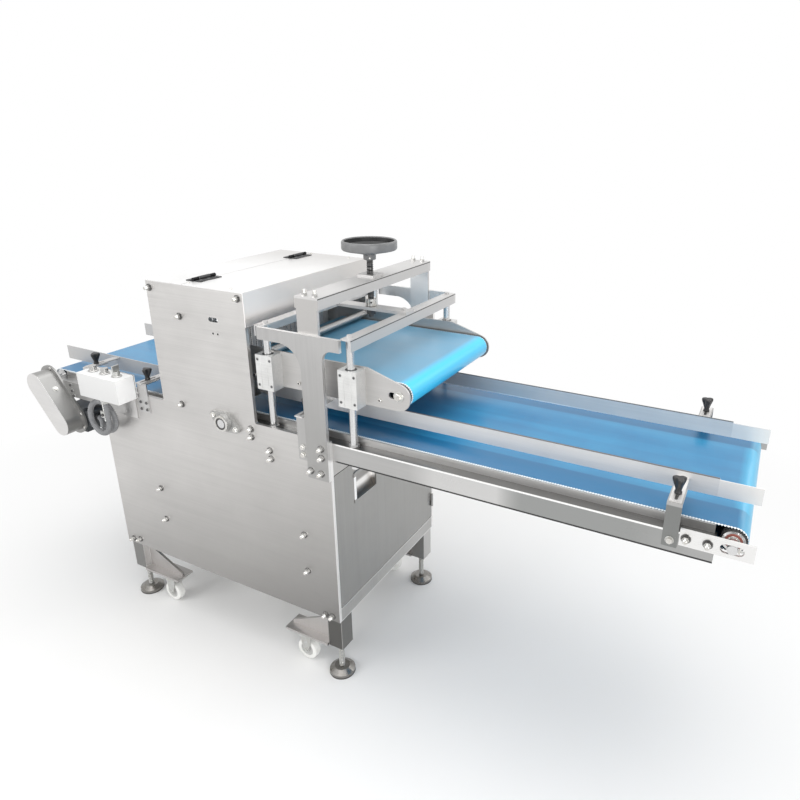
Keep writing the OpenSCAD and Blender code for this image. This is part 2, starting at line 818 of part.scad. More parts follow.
module infeed_drive_roller() color(bright) home()
    roller(-drive_x, infeed_axis_z, drive_shaft_d / 2, -bearing_h - overrun, body_w + bearing_h);

module infeed_tail_roller() color(bright) home() {
    roller(tail_x, infeed_axis_z, shaft_d / 2, inner_y - takeup_t - overrun,
        body_w - inner_y + takeup_t + overrun);
    both_sides() rod_y(tail_x, infeed_axis_z, roller_r - rail_t, belt_y0 - tail_ring_l, belt_y0);
}

module outfeed_drive_roller() color(bright) home() {
    roller(-outfeed_x, outfeed_axis_z, shaft_d / 2, sprocket_y - overrun,
        body_w - inner_y + takeup_t + overrun);
    rod_y(-outfeed_x, outfeed_axis_z, sprocket_r - skin_gap, sprocket_y, sprocket_y + sprocket_t);
}

// Flange bearings on the plates: rhombic for the infeed shaft, inside the cabinet for the crankshaft
bearing_flange_t = 10;
bearing_core_r = 29;
bearing_ear_x = 42;
bearing_ear_r = 12;
bearing_bolt_r = 5;

module flange_bearing(bore_r) difference() {
    union() {
        linear_extrude(bearing_flange_t) {
            band2d([0, 0], bearing_core_r, [bearing_ear_x, 0], bearing_ear_r);
            band2d([0, 0], bearing_core_r, [-bearing_ear_x, 0], bearing_ear_r);
        }
        cylinder(r1 = bearing_core_r, r2 = bearing_core_r - bearing_bolt_r, h = bearing_h);
    }
    translate([0, 0, -overrun]) cylinder(r = bore_r + running_gap, h = bearing_h + 2 * overrun);
    for (s = [-1, 1]) translate([s * bearing_ear_x, 0, -overrun]) cylinder(r = bearing_bolt_r, h = bearing_h);
}

bearing_tilt = 20;
module flange_bearings() color(white) home() both_sides() {
    translate([-drive_x, 0, infeed_axis_z]) rotate([90, bearing_tilt, 0]) flange_bearing(drive_shaft_d / 2);
    translate([crank_x, inner_y, crank_z]) rotate([-90, 0, 0]) flange_bearing(crank_shaft_d / 2);
}

// Bread guides, their brackets and clamp knobs

module guide_bracket(b) {
    x0 = b[0] - b[2] / 2;
    x1 = b[0] + b[2] / 2;
    span([x0, b[3] - bracket_t, b[4]], [x1, b[3], b[5]]);
    difference() {
        span([x0, b[3], b[5] - bracket_t], [x1, b[1] + bracket_reach, b[5]]);
        rod_z(b[0], b[1], stud_d / 2 + running_gap, b[5] - 2 * bracket_t, b[5] + overrun);
    }
}

module guide_brackets() color(bright) home() both_sides() for (b = BRACKETS) guide_bracket(b);

// A slotted arm lying on the bracket's seat, from beyond the slot to the guide's back
module guide_arm(b) {
    slot_r = stud_d / 2 + bracket_t / 10;
    y0 = b[1] - guide_travel - slot_r - stud_d;
    difference() {
        span([b[0] - arm_w / 2, y0, b[5]], [b[0] + arm_w / 2, guide_y - guide_t, b[5] + bracket_t]);
        for (y = [b[1] - guide_travel, b[1] + guide_travel])
            rod_z(b[0], y, slot_r, b[5] - overrun, b[5] + bracket_t + overrun);
        span([b[0] - slot_r, b[1] - guide_travel, b[5] - overrun],
             [b[0] + slot_r, b[1] + guide_travel, b[5] + bracket_t + overrun]);
    }
}

tip_drop = 4;
module guide_infeed() {
    span([infeed_guide_x0, guide_y - guide_t, infeed_guide_z], [infeed_guide_x1, guide_y,
        infeed_guide_z + guide_h]);
    span([infeed_guide_x1, guide_y - guide_t, infeed_guide_z],
         [infeed_guide_x1 + guide_tip_l, guide_y, infeed_guide_z + guide_h - tip_drop]);
    for (i = [0, 1]) guide_arm(BRACKETS[i]);
}

module guide_outfeed() {
    span([outfeed_guide_x0, guide_y - guide_t, outfeed_guide_z],
         [outfeed_guide_x1, guide_y, outfeed_guide_z + outfeed_guide_h]);
    for (i = [2, 3]) guide_arm(BRACKETS[i]);
}

module guide_infeed_near() color(bright) home() guide_infeed();

module guide_infeed_far() color(bright) home() far_side() guide_infeed();

module guide_outfeed_near() color(bright) home() guide_outfeed();

module guide_outfeed_far() color(bright) home() far_side() guide_outfeed();

knob_lobe_h = 16;
knob_lobe_r = 6;
module clamp_knob(i) {
    b = BRACKETS[i];
    z0 = b[5] + bracket_t + face_gap;
    rod_z(b[0], b[1], stud_d / 2, b[5] - 4 * bracket_t, z0);
    rod_z(b[0], b[1], knob_neck_d / 2, z0, z0 + knob_h - knob_lobe_h);
    translate([b[0], b[1], z0 + knob_h - knob_lobe_h]) linear_extrude(knob_lobe_h) {
        circle(r = knob_d / 2 * knob_lobe_share);
        slot2d(knob_lobe_r - knob_d / 2, knob_d / 2 - knob_lobe_r, 0, knob_lobe_r);
    }
}

module near_knob(i) color(black) home() clamp_knob(i);

module far_knob(i) color(black) home() far_side() clamp_knob(i);

// Outfeed drive

guard_t = 2;
module drive_guard() color(steel) home() {
    across(guard_face_y, guard_face_y + guard_t) band2d(guard_high, guard_r, guard_low, guard_r);
    across(guard_face_y + guard_t, guard_plate_y) difference() {
        band2d(guard_high, guard_r, guard_low, guard_r);
        band2d(guard_high, guard_r - guard_t, guard_low, guard_r - guard_t);
    }
    across(guard_plate_y, inner_y) difference() {
        band2d(guard_high, guard_r + guard_rim, guard_low, guard_r + guard_rim);
        translate(guard_high) circle(r = shaft_d / 2 + running_gap);
        translate(guard_low) circle(r = shaft_d / 2 + running_gap);
    }
}

module motor_sprocket() color(steel) home() {
    rod_y(guard_low.x, guard_low.y, shaft_d / 2, sprocket_y, inner_y - face_gap);
    rod_y(guard_low.x, guard_low.y, sprocket_r - skin_gap, sprocket_y, sprocket_y + sprocket_t);
}

gear_d = 70;
gear_motor_r = 50;
gear_motor_l = 170;
fan_l = 30;
fin_t = 3;
fin_gap = 9;
terminal_w = 60;
foot_pad_w = 20;

// A finned motor along y, with its fan cowl starting at fan_y
module finned_motor(x, z, r, y0, l, fan_y) {
    rod_y(x, z, r - fin_t, y0, y0 + l);
    for (y = [y0 : fin_gap : y0 + l - fin_t]) rod_y(x, z, r, y, y + fin_t);
    rod_y(x, z, r - fin_t / 2, fan_y, fan_y + fan_l);
}

module drive_motors() color(dark) home() {
    span([guard_low.x - gear_w / 2, inner_y, guard_low.y - gear_w / 2],
         [guard_low.x + gear_w / 2, inner_y + gear_d, guard_low.y + gear_w / 2]);
    finned_motor(guard_low.x, guard_low.y, gear_motor_r, inner_y + gear_d, gear_motor_l,
                 inner_y + gear_d + gear_motor_l);
    span([guard_low.x + gear_w / 2, conduit_end.y - terminal_w / 3, conduit_end.z - terminal_w / 2],
         [conduit_end.x - face_gap, conduit_end.y + terminal_w / 3, conduit_end.z + terminal_w / 3]);
    finned_motor(motor_x, motor_z, motor_r, motor_y0, motor_l, motor_y0 - fan_l);
    for (y = [motor_y0, motor_y0 + motor_l - foot_pad_w])
        span([motor_x - motor_r, y, shelf_z], [motor_x + motor_r, y + foot_pad_w, motor_z - motor_r / 2]);
}

module drive_belts() color(black) home() {
    loop_band([crank_x, crank_z], crank_pulley_r, [motor_x, motor_z], motor_pulley_r, timing_t,
              mid_y + pulley_w / 4, mid_y + pulley_w * 3 / 4);
    loop_band(guard_high, sprocket_r, guard_low, sprocket_r, timing_t, sprocket_y, sprocket_y + sprocket_t);
}

pulley_lip = 4;
// A flat belt pulley along y with a lip on each side
module pulley(x, z, r) {
    rod_y(x, z, r - skin_gap, mid_y, mid_y + pulley_w);
    for (y0 = [mid_y, mid_y + pulley_w - pulley_lip]) rod_y(x, z, r + timing_t + pulley_lip, y0,
        y0 + pulley_lip);
}

module motor_pulley() color(steel) home() {
    pulley(motor_x, motor_z, motor_pulley_r);
    rod_y(motor_x, motor_z, crank_shaft_d / 2, motor_y0 + motor_l + face_gap, mid_y);
}

// Blade frames, their guides and the crankshaft

frame_rail_y0 = inner_y + frame_rail_gap;
blade_y0 = mid_y - blade_pitch * (blade_count - 1) / 2;

// One frame: two rails, two bars, the blades and a fork for the crank pin
module blade_frame(i, fork_dir, fork_y) {
    x = blade_x[i];
    both_sides() span([x - frame_t / 2, frame_rail_y0, frame_bottom_z],
                      [x + frame_t / 2, frame_rail_y0 + frame_rail_w, frame_top_z]);
    for (z = [frame_bottom_z, frame_top_z - frame_bar_h])
        span([x - frame_t / 2, frame_rail_y0, z], [x + frame_t / 2, body_w - frame_rail_y0, z + frame_bar_h]);
    for (k = [0 : blade_count - 1 - i]) {
        y = blade_y0 + k * blade_pitch + i * blade_pitch / 2;
        span([x - blade_w / 2, y - blade_t / 2, frame_bottom_z + frame_bar_h / 2],
             [x + blade_w / 2, y + blade_t / 2, frame_top_z - frame_bar_h / 2]);
    }
    fork_x = crank_x + fork_dir * (crank_shaft_d / 2 + fork_end / 10);
    slot_h = crank_pin_d / 2 + crank_pin_play;
    slot_x0 = fork_x - fork_dir * overrun;
    slot_x1 = crank_x + fork_dir * (crank_r + slot_h);
    difference() {
        span([min(fork_x, fork_x + fork_dir * fork_w), fork_y, crank_z - fork_end - slot_h],
             [max(fork_x, fork_x + fork_dir * fork_w), fork_y + fork_t, frame_bottom_z]);
        span([min(slot_x0, slot_x1), fork_y - overrun, crank_z - slot_h],
             [max(slot_x0, slot_x1), fork_y + fork_t + overrun, crank_z + slot_h]);
    }
}

fork_y0 = crank_disc_y + crank_disc_t + panel_gap * 2;
module blade_frame_front() color(bright) home() blade_frame(0, 1, fork_y0);

module blade_frame_rear() color(bright) home() blade_frame(1, -1, body_w - fork_y0 - fork_t);

module crank_web(pin_x) {
    rod_y(crank_x, crank_z, crank_disc_d / 2, crank_disc_y, crank_disc_y + crank_disc_t);
    rod_y(crank_x + pin_x, crank_z, crank_pin_d / 2, crank_disc_y + crank_disc_t,
        fork_y0 + fork_t + panel_gap);
}

module crankshaft() color(steel) home() {
    rod_y(crank_x, crank_z, crank_shaft_d / 2, inner_y + panel_gap, body_w - inner_y - panel_gap);
    crank_web(crank_r);
    far_side() crank_web(-crank_r);
    pulley(crank_x, crank_z, crank_pulley_r);
}

guide_strip_past = 2;
guide_strip_d = frame_rail_gap + frame_rail_w + guide_strip_past;
module blade_guides() color(white) home() both_sides() {
    edges = [
        [blade_x[1] - frame_t / 2 - face_gap - guide_strip_w, blade_x[1] - frame_t / 2 - face_gap],
        [blade_x[1] + frame_t / 2 + face_gap, blade_x[0] - frame_t / 2 - face_gap],
        [blade_x[0] + frame_t / 2 + face_gap, blade_x[0] + frame_t / 2 + face_gap + guide_strip_w]
    ];
    for (e = edges) span([e[0], inner_y, frame_bottom_z], [e[1], inner_y + guide_strip_d, frame_top_z]);
}

// Press carriage

module lift_posts() color(bright) home() both_sides() for (x = post_xs)
    rod_z(x, post_y, post_d / 2, post_bottom_z, post_top_z);

bar_overhang = 18;
module cross_angle(x, dir) {
    edge = x + dir * bar_overhang;
    y0 = ear_t / 4;
    span([min(edge, edge - dir * angle_w), y0, post_top_z], [max(edge, edge - dir * angle_w),
        body_w - y0, bar_z]);
    span([min(edge, edge - dir * angle_t), y0, bar_z - angle_w], [max(edge, edge - dir * angle_t),
        body_w - y0, post_top_z]);
    both_sides() hex_z(x, post_y, bolt_r, bar_z, bar_z + bolt_h);
}

module lift_bars() color(bright) home() {
    cross_angle(post_xs[0], 1);
    cross_angle(post_xs[1], -1);
    difference() {
        span([post_xs[1] - bar_overhang, mid_y - bar_w / 2, bar_z], [post_xs[0] + bar_overhang,
            mid_y + bar_w / 2, bar_z + bar_t]);
        rod_z(screw_x, mid_y, screw_d / 2 + running_gap, bar_z - overrun, bar_z + bar_t + overrun);
    }
    for (x = post_xs) hex_z(x, mid_y, bolt_r, bar_z + bar_t, bar_z + bar_t + bolt_h);
}

press_plate_drop = 38;
press_bottom_z = press_z - press_plate_drop;
nose_r = 35;
nose_back = 3;
nose_c = [press_front_x - nose_back, press_bottom_z + nose_r];
slope = 17;
slope_l = 100;
press_plate_x0 = -330;
tie_rod_x = -225;
tie_rod_d = 20;
tie_rod_rise = 17;
tie_rod_z = press_z + press_belt_r + tie_rod_rise;
slot_back = 20;
press_bed_t = 3;
press_bed_gap = 36;

module press_plate_outline() {
    nose_top = nose_c + nose_r * [sin(slope), cos(slope)];
    shoulder = nose_top + slope_l * [-cos(slope), sin(slope)];
    translate(nose_c) circle(r = nose_r);
    polygon([[press_plate_x0, press_bottom_z], [nose_c.x, press_bottom_z], nose_top, shoulder,
        [press_plate_x0, shoulder.y]]);
}

module press_side_plates() color(steel) home() {
    both_sides() across(press_plate_y, press_plate_y + press_plate_t) difference() {
        press_plate_outline();
        slot2d(press_front_x - slot_back, press_front_x, press_z, press_shaft_d / 2 + running_gap);
        translate([press_rear_x, press_z]) circle(r = press_shaft_d / 2 + running_gap);
    }
    rod_y(tie_rod_x, tie_rod_z, tie_rod_d / 2, press_plate_y + press_plate_t,
        body_w - press_plate_y - press_plate_t);
    span([press_rear_x + press_bed_gap, press_plate_y + press_plate_t, press_z - press_r],
         [press_front_x - press_bed_gap, body_w - press_plate_y - press_plate_t,
             press_z - press_r + press_bed_t]);
}

block_hole_r = 4;
block_hole_x = 20;
block_hole_z = 35;
block_hole_depth = 12;
seal_t = 3;
seal_r = 15;

module press_block(x) difference() {
    span([x - block_l / 2, press_plate_y - block_d, block_z], [x + block_l / 2, press_plate_y,
        block_z + block_h]);
    rod_z(x, post_y, post_d / 2 + running_gap, block_z - overrun, block_z + block_h + overrun);
    for (z0 = [block_z - overrun, block_z + block_h - seal_t]) rod_z(x, post_y, seal_r, z0,
        z0 + seal_t + overrun);
    for (dx = [-block_hole_x, block_hole_x], dz = [-block_hole_z, block_hole_z])
        rod_y(x + dx, block_z + block_h / 2 + dz, block_hole_r, press_plate_y - block_d - overrun,
              press_plate_y - block_d + block_hole_depth);
}

module press_blocks() color(bright) home() both_sides() for (x = post_xs) press_block(x);

module press_belt() color(belt_blue) home()
    loop_band([press_front_x, press_z], press_r, [press_rear_x, press_z], press_r, belt_t, press_y0,
        body_w - press_y0);

module press_roller(x) {
    rod_y(x, press_z, press_r - skin_gap, press_y0, body_w - press_y0);
    rod_y(x, press_z, press_shaft_d / 2, press_plate_y - press_plate_t,
        body_w - press_plate_y + press_plate_t);
}

module press_roller_front() color(bright) home() press_roller(press_front_x);

module press_roller_rear() color(bright) home() press_roller(press_rear_x);

// Lifting screw and handwheel

collar_r = 15;
collar_h = 22;
end_nut_r = 14;
end_nut_h = 14;
wheel_z = 1200;
wheel_hub_r = 17;
wheel_hub_h = 14;
wheel_rise = 12;
wheel_rim_h = 26;
wheel_rim_t = 7;
wheel_web_t = 6;

module lift_screw() color(dark) home() {
    rod_z(screw_x, mid_y, screw_d / 2, bar_z - end_nut_h - bar_t, wheel_z);
    rod_z(screw_x, mid_y, collar_r, bar_z + bar_t + face_gap, bar_z + bar_t + collar_h);
    hex_z(screw_x, mid_y, end_nut_r, bar_z - end_nut_h, bar_z - face_gap);
}

module handwheel() color(dark) home() translate([screw_x, mid_y, wheel_z]) rotate_extrude() {
    wheel_r = wheel_d / 2;
    low = wheel_hub_h + wheel_rise;
    polygon([
        [0, 0], [wheel_hub_r, 0], [wheel_hub_r, wheel_hub_h], [wheel_r - wheel_rim_t, low], [wheel_r,
            low + wheel_rim_t / 2],
        [wheel_r, low + wheel_rim_h - wheel_rim_t / 2], [wheel_r - wheel_rim_t / 2, low + wheel_rim_h],
        [wheel_r - wheel_rim_t, low + wheel_rim_h - wheel_rim_t / 2], [wheel_r - wheel_rim_t,
            low + wheel_web_t],
        [wheel_hub_r, wheel_hub_h + wheel_web_t], [0, wheel_hub_h + wheel_web_t]
    ]);
}

// Control box

back_plate_drop = 70;
back_plate_margin = 17;
bore_clear = 0.1;
module control_box() color(white) home() {
    difference() {
        union() {
            span([box_x0, box_back_y - box_d, box_z], [box_x0 + box_l, box_back_y, box_z + box_h]);
            for (s = control_shares) rod_z(box_x0 + s * box_l, control_y, bezel_d / 2, box_z + box_h,
                box_z + box_h + bezel_h);
        }
        for (s = control_shares)
            rod_z(box_x0 + s * box_l, control_y, button_d / 2 + bore_clear, box_z + box_h - 2 * button_travel,
                  box_z + box_h + bezel_h + overrun);
    }
    span([box_x0 + back_plate_margin, box_back_y, box_z - back_plate_drop],
         [box_x0 + box_l - back_plate_margin, 0, box_z + box_h - back_plate_margin]);
}

module control_cap(i) rod_z(box_x0 + control_shares[i] * box_l, control_y, button_d / 2,
                            box_z + box_h - button_travel + face_gap, box_z + box_h + button_h);

module start_button() color(silver) home() control_cap(0);

module stop_button() color(silver) home() control_cap(1);

module speed_knob() color(silver) home() {
    control_cap(2);
    x = box_x0 + control_shares[2] * box_l;
    span([x - button_d / 8, control_y - button_d / 2 + bore_clear, box_z + box_h + button_h],
         [x + button_d / 8, control_y + button_d / 2 - bore_clear, box_z + box_h + 2 * button_h]);
}

// Ribbed conduit

loop_c = [conduit_start.x - loop_r, loop_z];
loop_turn = 450;
function loop_point(a) = [loop_c.x + loop_r * cos(a), conduit_start.y + loop_step * a / 360,
    loop_c.y - loop_r * sin(a)];
loop_end = loop_point(loop_turn);
function tail_point(t) = [
    loop_end.x + (conduit_end.x - loop_end.x) * t,
    loop_end.y + (conduit_end.y - loop_end.y) * t * t * (3 - 2 * t),
    loop_end.z + (conduit_end.z - loop_end.z) * t * t * (3 - 2 * t)
];
drop_l = conduit_start.z - loop_z;
route_l = drop_l + loop_r * loop_turn * PI / 180 + norm(conduit_end - loop_end);
// The route's point at the length s from the box
function route_at(s) =
    s < drop_l ? [conduit_start.x, conduit_start.y, conduit_start.z - s] :
    s < drop_l + loop_r * loop_turn * PI / 180 ? loop_point((s - drop_l) / loop_r * 180 / PI) :
    tail_point(min(1, (s - drop_l - loop_r * loop_turn * PI / 180) / norm(conduit_end - loop_end)));
function heading(s) = unit(route_at(min(route_l, s + conduit_rib)) - route_at(max(0, s - conduit_rib)));
sides = 8;
// One ring of points round the route at s, square to it
function ring(s, r) = let (t = heading(s), u = unit(cross(t, [0, 1, 0])), v = cross(u, t))
    [for (k = [0 : sides - 1]) route_at(s) + r * (u * cos(360 * k / sides) + v * sin(360 * k / sides))];
function skin(n, first, flip) = [for (j = [0 : n - 2], k = [0 : sides - 1])
    let (a = first + j * sides + k, b = first + j * sides + (k + 1) % sides, c = a + sides, d = b + sides)
    each flip ? [[a, b, c], [b, d, c]] : [[a, c, b], [b, c, d]]];
function cap(outer, inner, flip) = [for (k = [0 : sides - 1])
    let (a = outer + k, b = outer + (k + 1) % sides, c = inner + k, d = inner + (k + 1) % sides)
    each flip ? [[a, c, b], [b, c, d]] : [[a, b, c], [b, d, c]]];
// Shares of a pitch at which a rib rises and falls
rib_shares = [0.25, 0.75];
rib_n = floor((route_l - 4 * conduit_r) / conduit_pitch);
rib_s = [for (j = [0 : rib_n - 1], h = rib_shares) 2 * conduit_r + (j + h) * conduit_pitch];
outer_s = concat([0], rib_s, [route_l]);
bore_n = ceil(route_l / (2 * conduit_pitch));

module conduit() color(dark) home() {
    outer = [for (i = [0 : len(outer_s) - 1])
        each ring(outer_s[i], conduit_r + (i > 0 && i < len(outer_s) - 1 && i % 2 == 0 ? conduit_rib : 0))];
    bore = [for (i = [0 : bore_n]) each ring(route_l * i / bore_n, conduit_bore_r)];
    base = len(outer);
    polyhedron(concat(outer, bore), concat(
        skin(len(outer_s), 0, false), skin(bore_n + 1, base, true),
        cap(0, base, false), cap(base - sides, base + bore_n * sides, true)));
}

// Bolts through the plates, brackets and rails

tee_bolts = [for (s = tee_bolt_shares) [-s[0] * tee_stem_w,
    tee_bottom_z + s[1] * (tee_top_z - tee_bottom_z)]];
tee_rail_bolts = [for (dz = [rail_h / 4, rail_h * 3 / 4]) [-tee_rail_bolt_share * tee_stem_w,
    infeed_rail_z - dz]];
takeup_bolt_shares = [0.09, 0.385];
takeup_bolts = [for (s = takeup_bolt_shares) [takeup_x1 - takeup_l * (1 - s), infeed_axis_z]];

module bolt(x, z, y) {
    rod_y(x, z, washer_r, y - washer_t, y);
    hex_y(x, z, bolt_r, y - washer_t - bolt_h, y - washer_t);
}

module fasteners() color(bright) home() both_sides() {
    for (s = tower_bolt_shares) bolt(tower_x1 - s[0] * tower_l, s[1] * tower_z, 0);
    for (s = plate_bolt_shares) bolt(-s[0] * body_l, s[1] * shoulder_z, 0);
    for (p = concat(tee_bolts, tee_rail_bolts)) bolt(p[0], p[1], -tee_t);
    for (p = takeup_bolts) bolt(p[0], p[1], inner_y - takeup_t);
    for (x = [screw_x - ear_w / 4, screw_x + ear_w / 4]) hex_z(x, 2 * ear_t, bolt_r, beam_z + beam_t,
        beam_z + beam_t + bolt_h);
}

side_plate_near();
side_plate_far();
leg_frame();
levelling_feet();
castor_forks();
cabinet_panels();
tower_panels();
hinge_halves();
tee_brackets();
press_gantry();
conveyor_rails();
slider_beds();
conveyor_belts();
flange_bearings();
guide_brackets();
drive_guard();
drive_motors();
drive_belts();
control_box();
conduit();
blade_guides();
fasteners();
service_door();
blade_cover();
infeed_drive_roller();
infeed_tail_roller();
outfeed_drive_roller();
motor_sprocket();
guide_infeed_near();
guide_infeed_far();
guide_outfeed_near();
guide_outfeed_far();
lift_posts();
lift_bars();
press_side_plates();
press_blocks();
press_belt();
press_roller_front();
press_roller_rear();
handwheel();
lift_screw();
blade_frame_front();
blade_frame_rear();
crankshaft();
motor_pulley();
start_button();
stop_button();
speed_knob();
near_knob(0);  // knob_infeed_near_outer
near_knob(1);  // knob_infeed_near_inner
far_knob(0);  // knob_infeed_far_outer
far_knob(1);  // knob_infeed_far_inner
near_knob(2);  // knob_outfeed_near_outer
near_knob(3);  // knob_outfeed_near_inner
far_knob(2);  // knob_outfeed_far_outer
far_knob(3);  // knob_outfeed_far_inner
near_wheel(0);  // castor_wheel_near_in
near_wheel(1);  // castor_wheel_near_out
far_wheel(0);  // castor_wheel_far_in
far_wheel(1);  // castor_wheel_far_out
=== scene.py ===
"""Bread slicer: finishes, fine pieces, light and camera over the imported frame."""
import math

import bmesh
import bpy
from mathutils import Matrix, Vector


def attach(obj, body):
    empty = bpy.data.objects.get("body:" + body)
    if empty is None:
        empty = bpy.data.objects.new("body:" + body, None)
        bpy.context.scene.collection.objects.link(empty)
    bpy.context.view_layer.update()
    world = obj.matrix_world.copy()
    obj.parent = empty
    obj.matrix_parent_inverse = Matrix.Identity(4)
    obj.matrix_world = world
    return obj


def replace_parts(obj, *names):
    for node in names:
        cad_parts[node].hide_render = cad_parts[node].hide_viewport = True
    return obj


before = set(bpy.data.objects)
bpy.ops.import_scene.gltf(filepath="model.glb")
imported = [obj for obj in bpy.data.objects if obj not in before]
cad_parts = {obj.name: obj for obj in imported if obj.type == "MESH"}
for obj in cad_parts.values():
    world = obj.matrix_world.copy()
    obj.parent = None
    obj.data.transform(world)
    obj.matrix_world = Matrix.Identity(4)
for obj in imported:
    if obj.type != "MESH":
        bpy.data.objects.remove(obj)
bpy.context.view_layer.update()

# Machine places in millimetres: x from the plates' infeed edge, y from the near plate, z from the floor
ORIGIN_X, ORIGIN_Y = -105, 256      # the shared frame's origin
NEAR, FAR, MIDDLE = 0, 560, 280     # the plates' outer faces and the middle plane
SIDES = {"near": (NEAR, 1), "far": (FAR, -1)}
BOTH = tuple(SIDES.values())
# The axes of the infeed, outfeed and press belts' rollers
DRIVE_X, TAIL_X, INFEED_Z = -350, 947, 769.5
OUTFEED_NOSE_X, OUTFEED_X, OUTFEED_Z = -520, -1140, 749.5
PRESS_REAR_X, PRESS_NOSE_X, PRESS_Z = -300, 181, 927
# The lifting posts, their blocks and the screw, the feet, the gearmotor, the conduit's ends and the hinges
POSTS_X, BLOCK_Z, LIFT_X = (60, -200), 935, -45
FEET_X, LEG_Y = (-28.3, -851.7), 35
MOTOR_X, MOTOR_Z = -1047, 628
BOX_GLAND, TERMINAL = (-790, -52, 770), (-975, 34, 640)
HINGES_Y, COVER_Z = (80, 480), 1142.6
UP = (0, 0, 1)


def spot(x, y, z):
    """A machine place in millimetres, in the shared frame."""
    return Vector(((x - ORIGIN_X) / 1000, (y - ORIGIN_Y) / 1000, z / 1000))


def across(side, y):
    """The place y of the near side, on either side of the machine."""
    return side[0] + side[1] * y


def outward(side):
    """The way out of the machine on either side."""
    return (0, -side[1], 0)


class Wire:
    """An output socket of a node tree. Sums and products of wires add Math nodes to that tree."""

    def __init__(self, tree, socket=None):
        self.tree, self.socket = tree, socket

    def node(self, kind, settings=(), sockets=(), out=0):
        made = self.tree.nodes.new(kind)
        for key, value in dict(settings).items():
            setattr(made, key, value)
        for key, value in dict(sockets).items():
            for one in value if isinstance(value, list) else [value]:
                if isinstance(one, Wire):
                    self.tree.links.new(one.socket, made.inputs[key])
                else:
                    made.inputs[key].default_value = one
        return Wire(self.tree, made.outputs[out])

    def shape(self, kind, **sockets):
        """A geometry node. Its sockets' names have underscores for spaces."""
        named = {key.replace("_", " "): value for key, value in sockets.items()}
        return self.node("GeometryNode" + kind, (), named)

    def also(self, out):
        return Wire(self.tree, self.socket.node.outputs[out])

    def math(self, operation, a, b=0.0):
        return self.node("ShaderNodeMath", {"operation": operation}, {0: a, 1: b})

    def __add__(self, other):
        return self.math("ADD", self, other)

    def __radd__(self, other):
        return self.math("ADD", other, self)

    def __sub__(self, other):
        return self.math("SUBTRACT", self, other)

    def __rsub__(self, other):
        return self.math("SUBTRACT", other, self)

    def __mul__(self, other):
        return self.math("MULTIPLY", self, other)

    def __rmul__(self, other):
        return self.math("MULTIPLY", other, self)


# Finishes


def begin_finish(name):
    """A new material, its shader node and the wire of its object coordinates."""
    finish = bpy.data.materials.new(name)
    finish.use_nodes = True
    place = Wire(finish.node_tree).node("ShaderNodeTexCoord", out="Object")
    return finish, finish.node_tree.nodes["Principled BSDF"], place


def fixed(shader, **values):
    """Sets inputs of a shader. Their names have underscores for spaces."""
    for key, value in values.items():
        shader.inputs[key.replace("_", " ")].default_value = value


def feed(shader, **wires):
    """Links wires to inputs of a shader."""
    for key, wire in wires.items():
        wire.tree.links.new(wire.socket, shader.inputs[key.replace("_", " ")])


def speckle(place, size, detail=3.0, rough=0.55):
    """Even noise with features of about that many metres."""
    return place.node("ShaderNodeTexNoise", (),
                      {"Vector": place, "Scale": 1 / size, "Detail": detail, "Roughness": rough})


def stretched(place, grain, width, length, detail=2.0):
    """Noise drawn out along one axis, as grinding leaves it."""
    scale = [1 / width] * 3
    scale["xyz".index(grain)] = 1 / length
    lines = place.node("ShaderNodeMapping", (), {"Vector": place, "Scale": tuple(scale)})
    return place.node("ShaderNodeTexNoise", (), {"Vector": lines, "Scale": 1.0, "Detail": detail})


def scaled(tone, by):
    """A tone made lighter or darker."""
    return [min(1, c * by) for c in tone]


def tinted(share, low, high):
    """A colour between two, by a share from 0 to 1. The first may be a wire."""
    return share.node("ShaderNodeMix", {"data_type": "RGBA", "clamp_factor": True},
                      {0: share, 6: low if isinstance(low, Wire) else (*low, 1), 7: (*high, 1)}, out=2)


def spread(share, low, high):
    """The share between low and high drawn out to 0 to 1."""
    return share.node("ShaderNodeMapRange", (), {"Value": share, "From Min": low, "From Max": high})


def bumped(height, strength, distance=0.0005):
    """A normal with fine relief."""
    return height.node("ShaderNodeBump", (), {"Strength": strength, "Distance": distance, "Height": height})


def zoned(place, colour, zones):
    """A colour with a piece's zones laid over it. zones(x, y, z), in metres, gives (mask, tone) pairs."""
    if zones:
        axes = place.node("ShaderNodeSeparateXYZ", (), {0: place})
        for mask, tone in zones(axes, axes.also("Y"), axes.also("Z")):
            colour = tinted(mask, colour, tone)
    return colour


def within(wire, middle, reach):
    """1 where a wire lies within a reach of a value, and 0 elsewhere."""
    return wire.node("ShaderNodeMath", {"operation": "COMPARE"}, {0: wire, 1: middle, 2: reach})


def aside(y):
    """The distance from the machine's middle plane."""
    return y.math("ABSOLUTE", y - 0.024)


def plate_painted_light_zones(x, y, z):
    """Painted shade darkens the plates low down by the door, and a painted highlight brightens their cut edge
    there.
    """
    return ((0.88 - 0.88 * spread(z - x * 0.4, 0.18, 0.80), (0.20, 0.195, 0.19)),
            (spread(x, 0.1040, 0.1048), (0.88, 0.87, 0.86)))


def cover_painted_light_zones(x, y, z):
    """Painted light on the cover's front lip near by, and painted shade on the lip and the roof towards their
    far end.
    """
    lip = spread(x, -0.1434, -0.1424)
    return ((lip, (0.96, 0.93, 0.91)), (lip * spread(y, -0.20, 0.16), (0.66, 0.64, 0.62)),
            ((0.75 - 0.75 * lip) * spread(y, 0.0, 0.26), (0.58, 0.565, 0.55)))


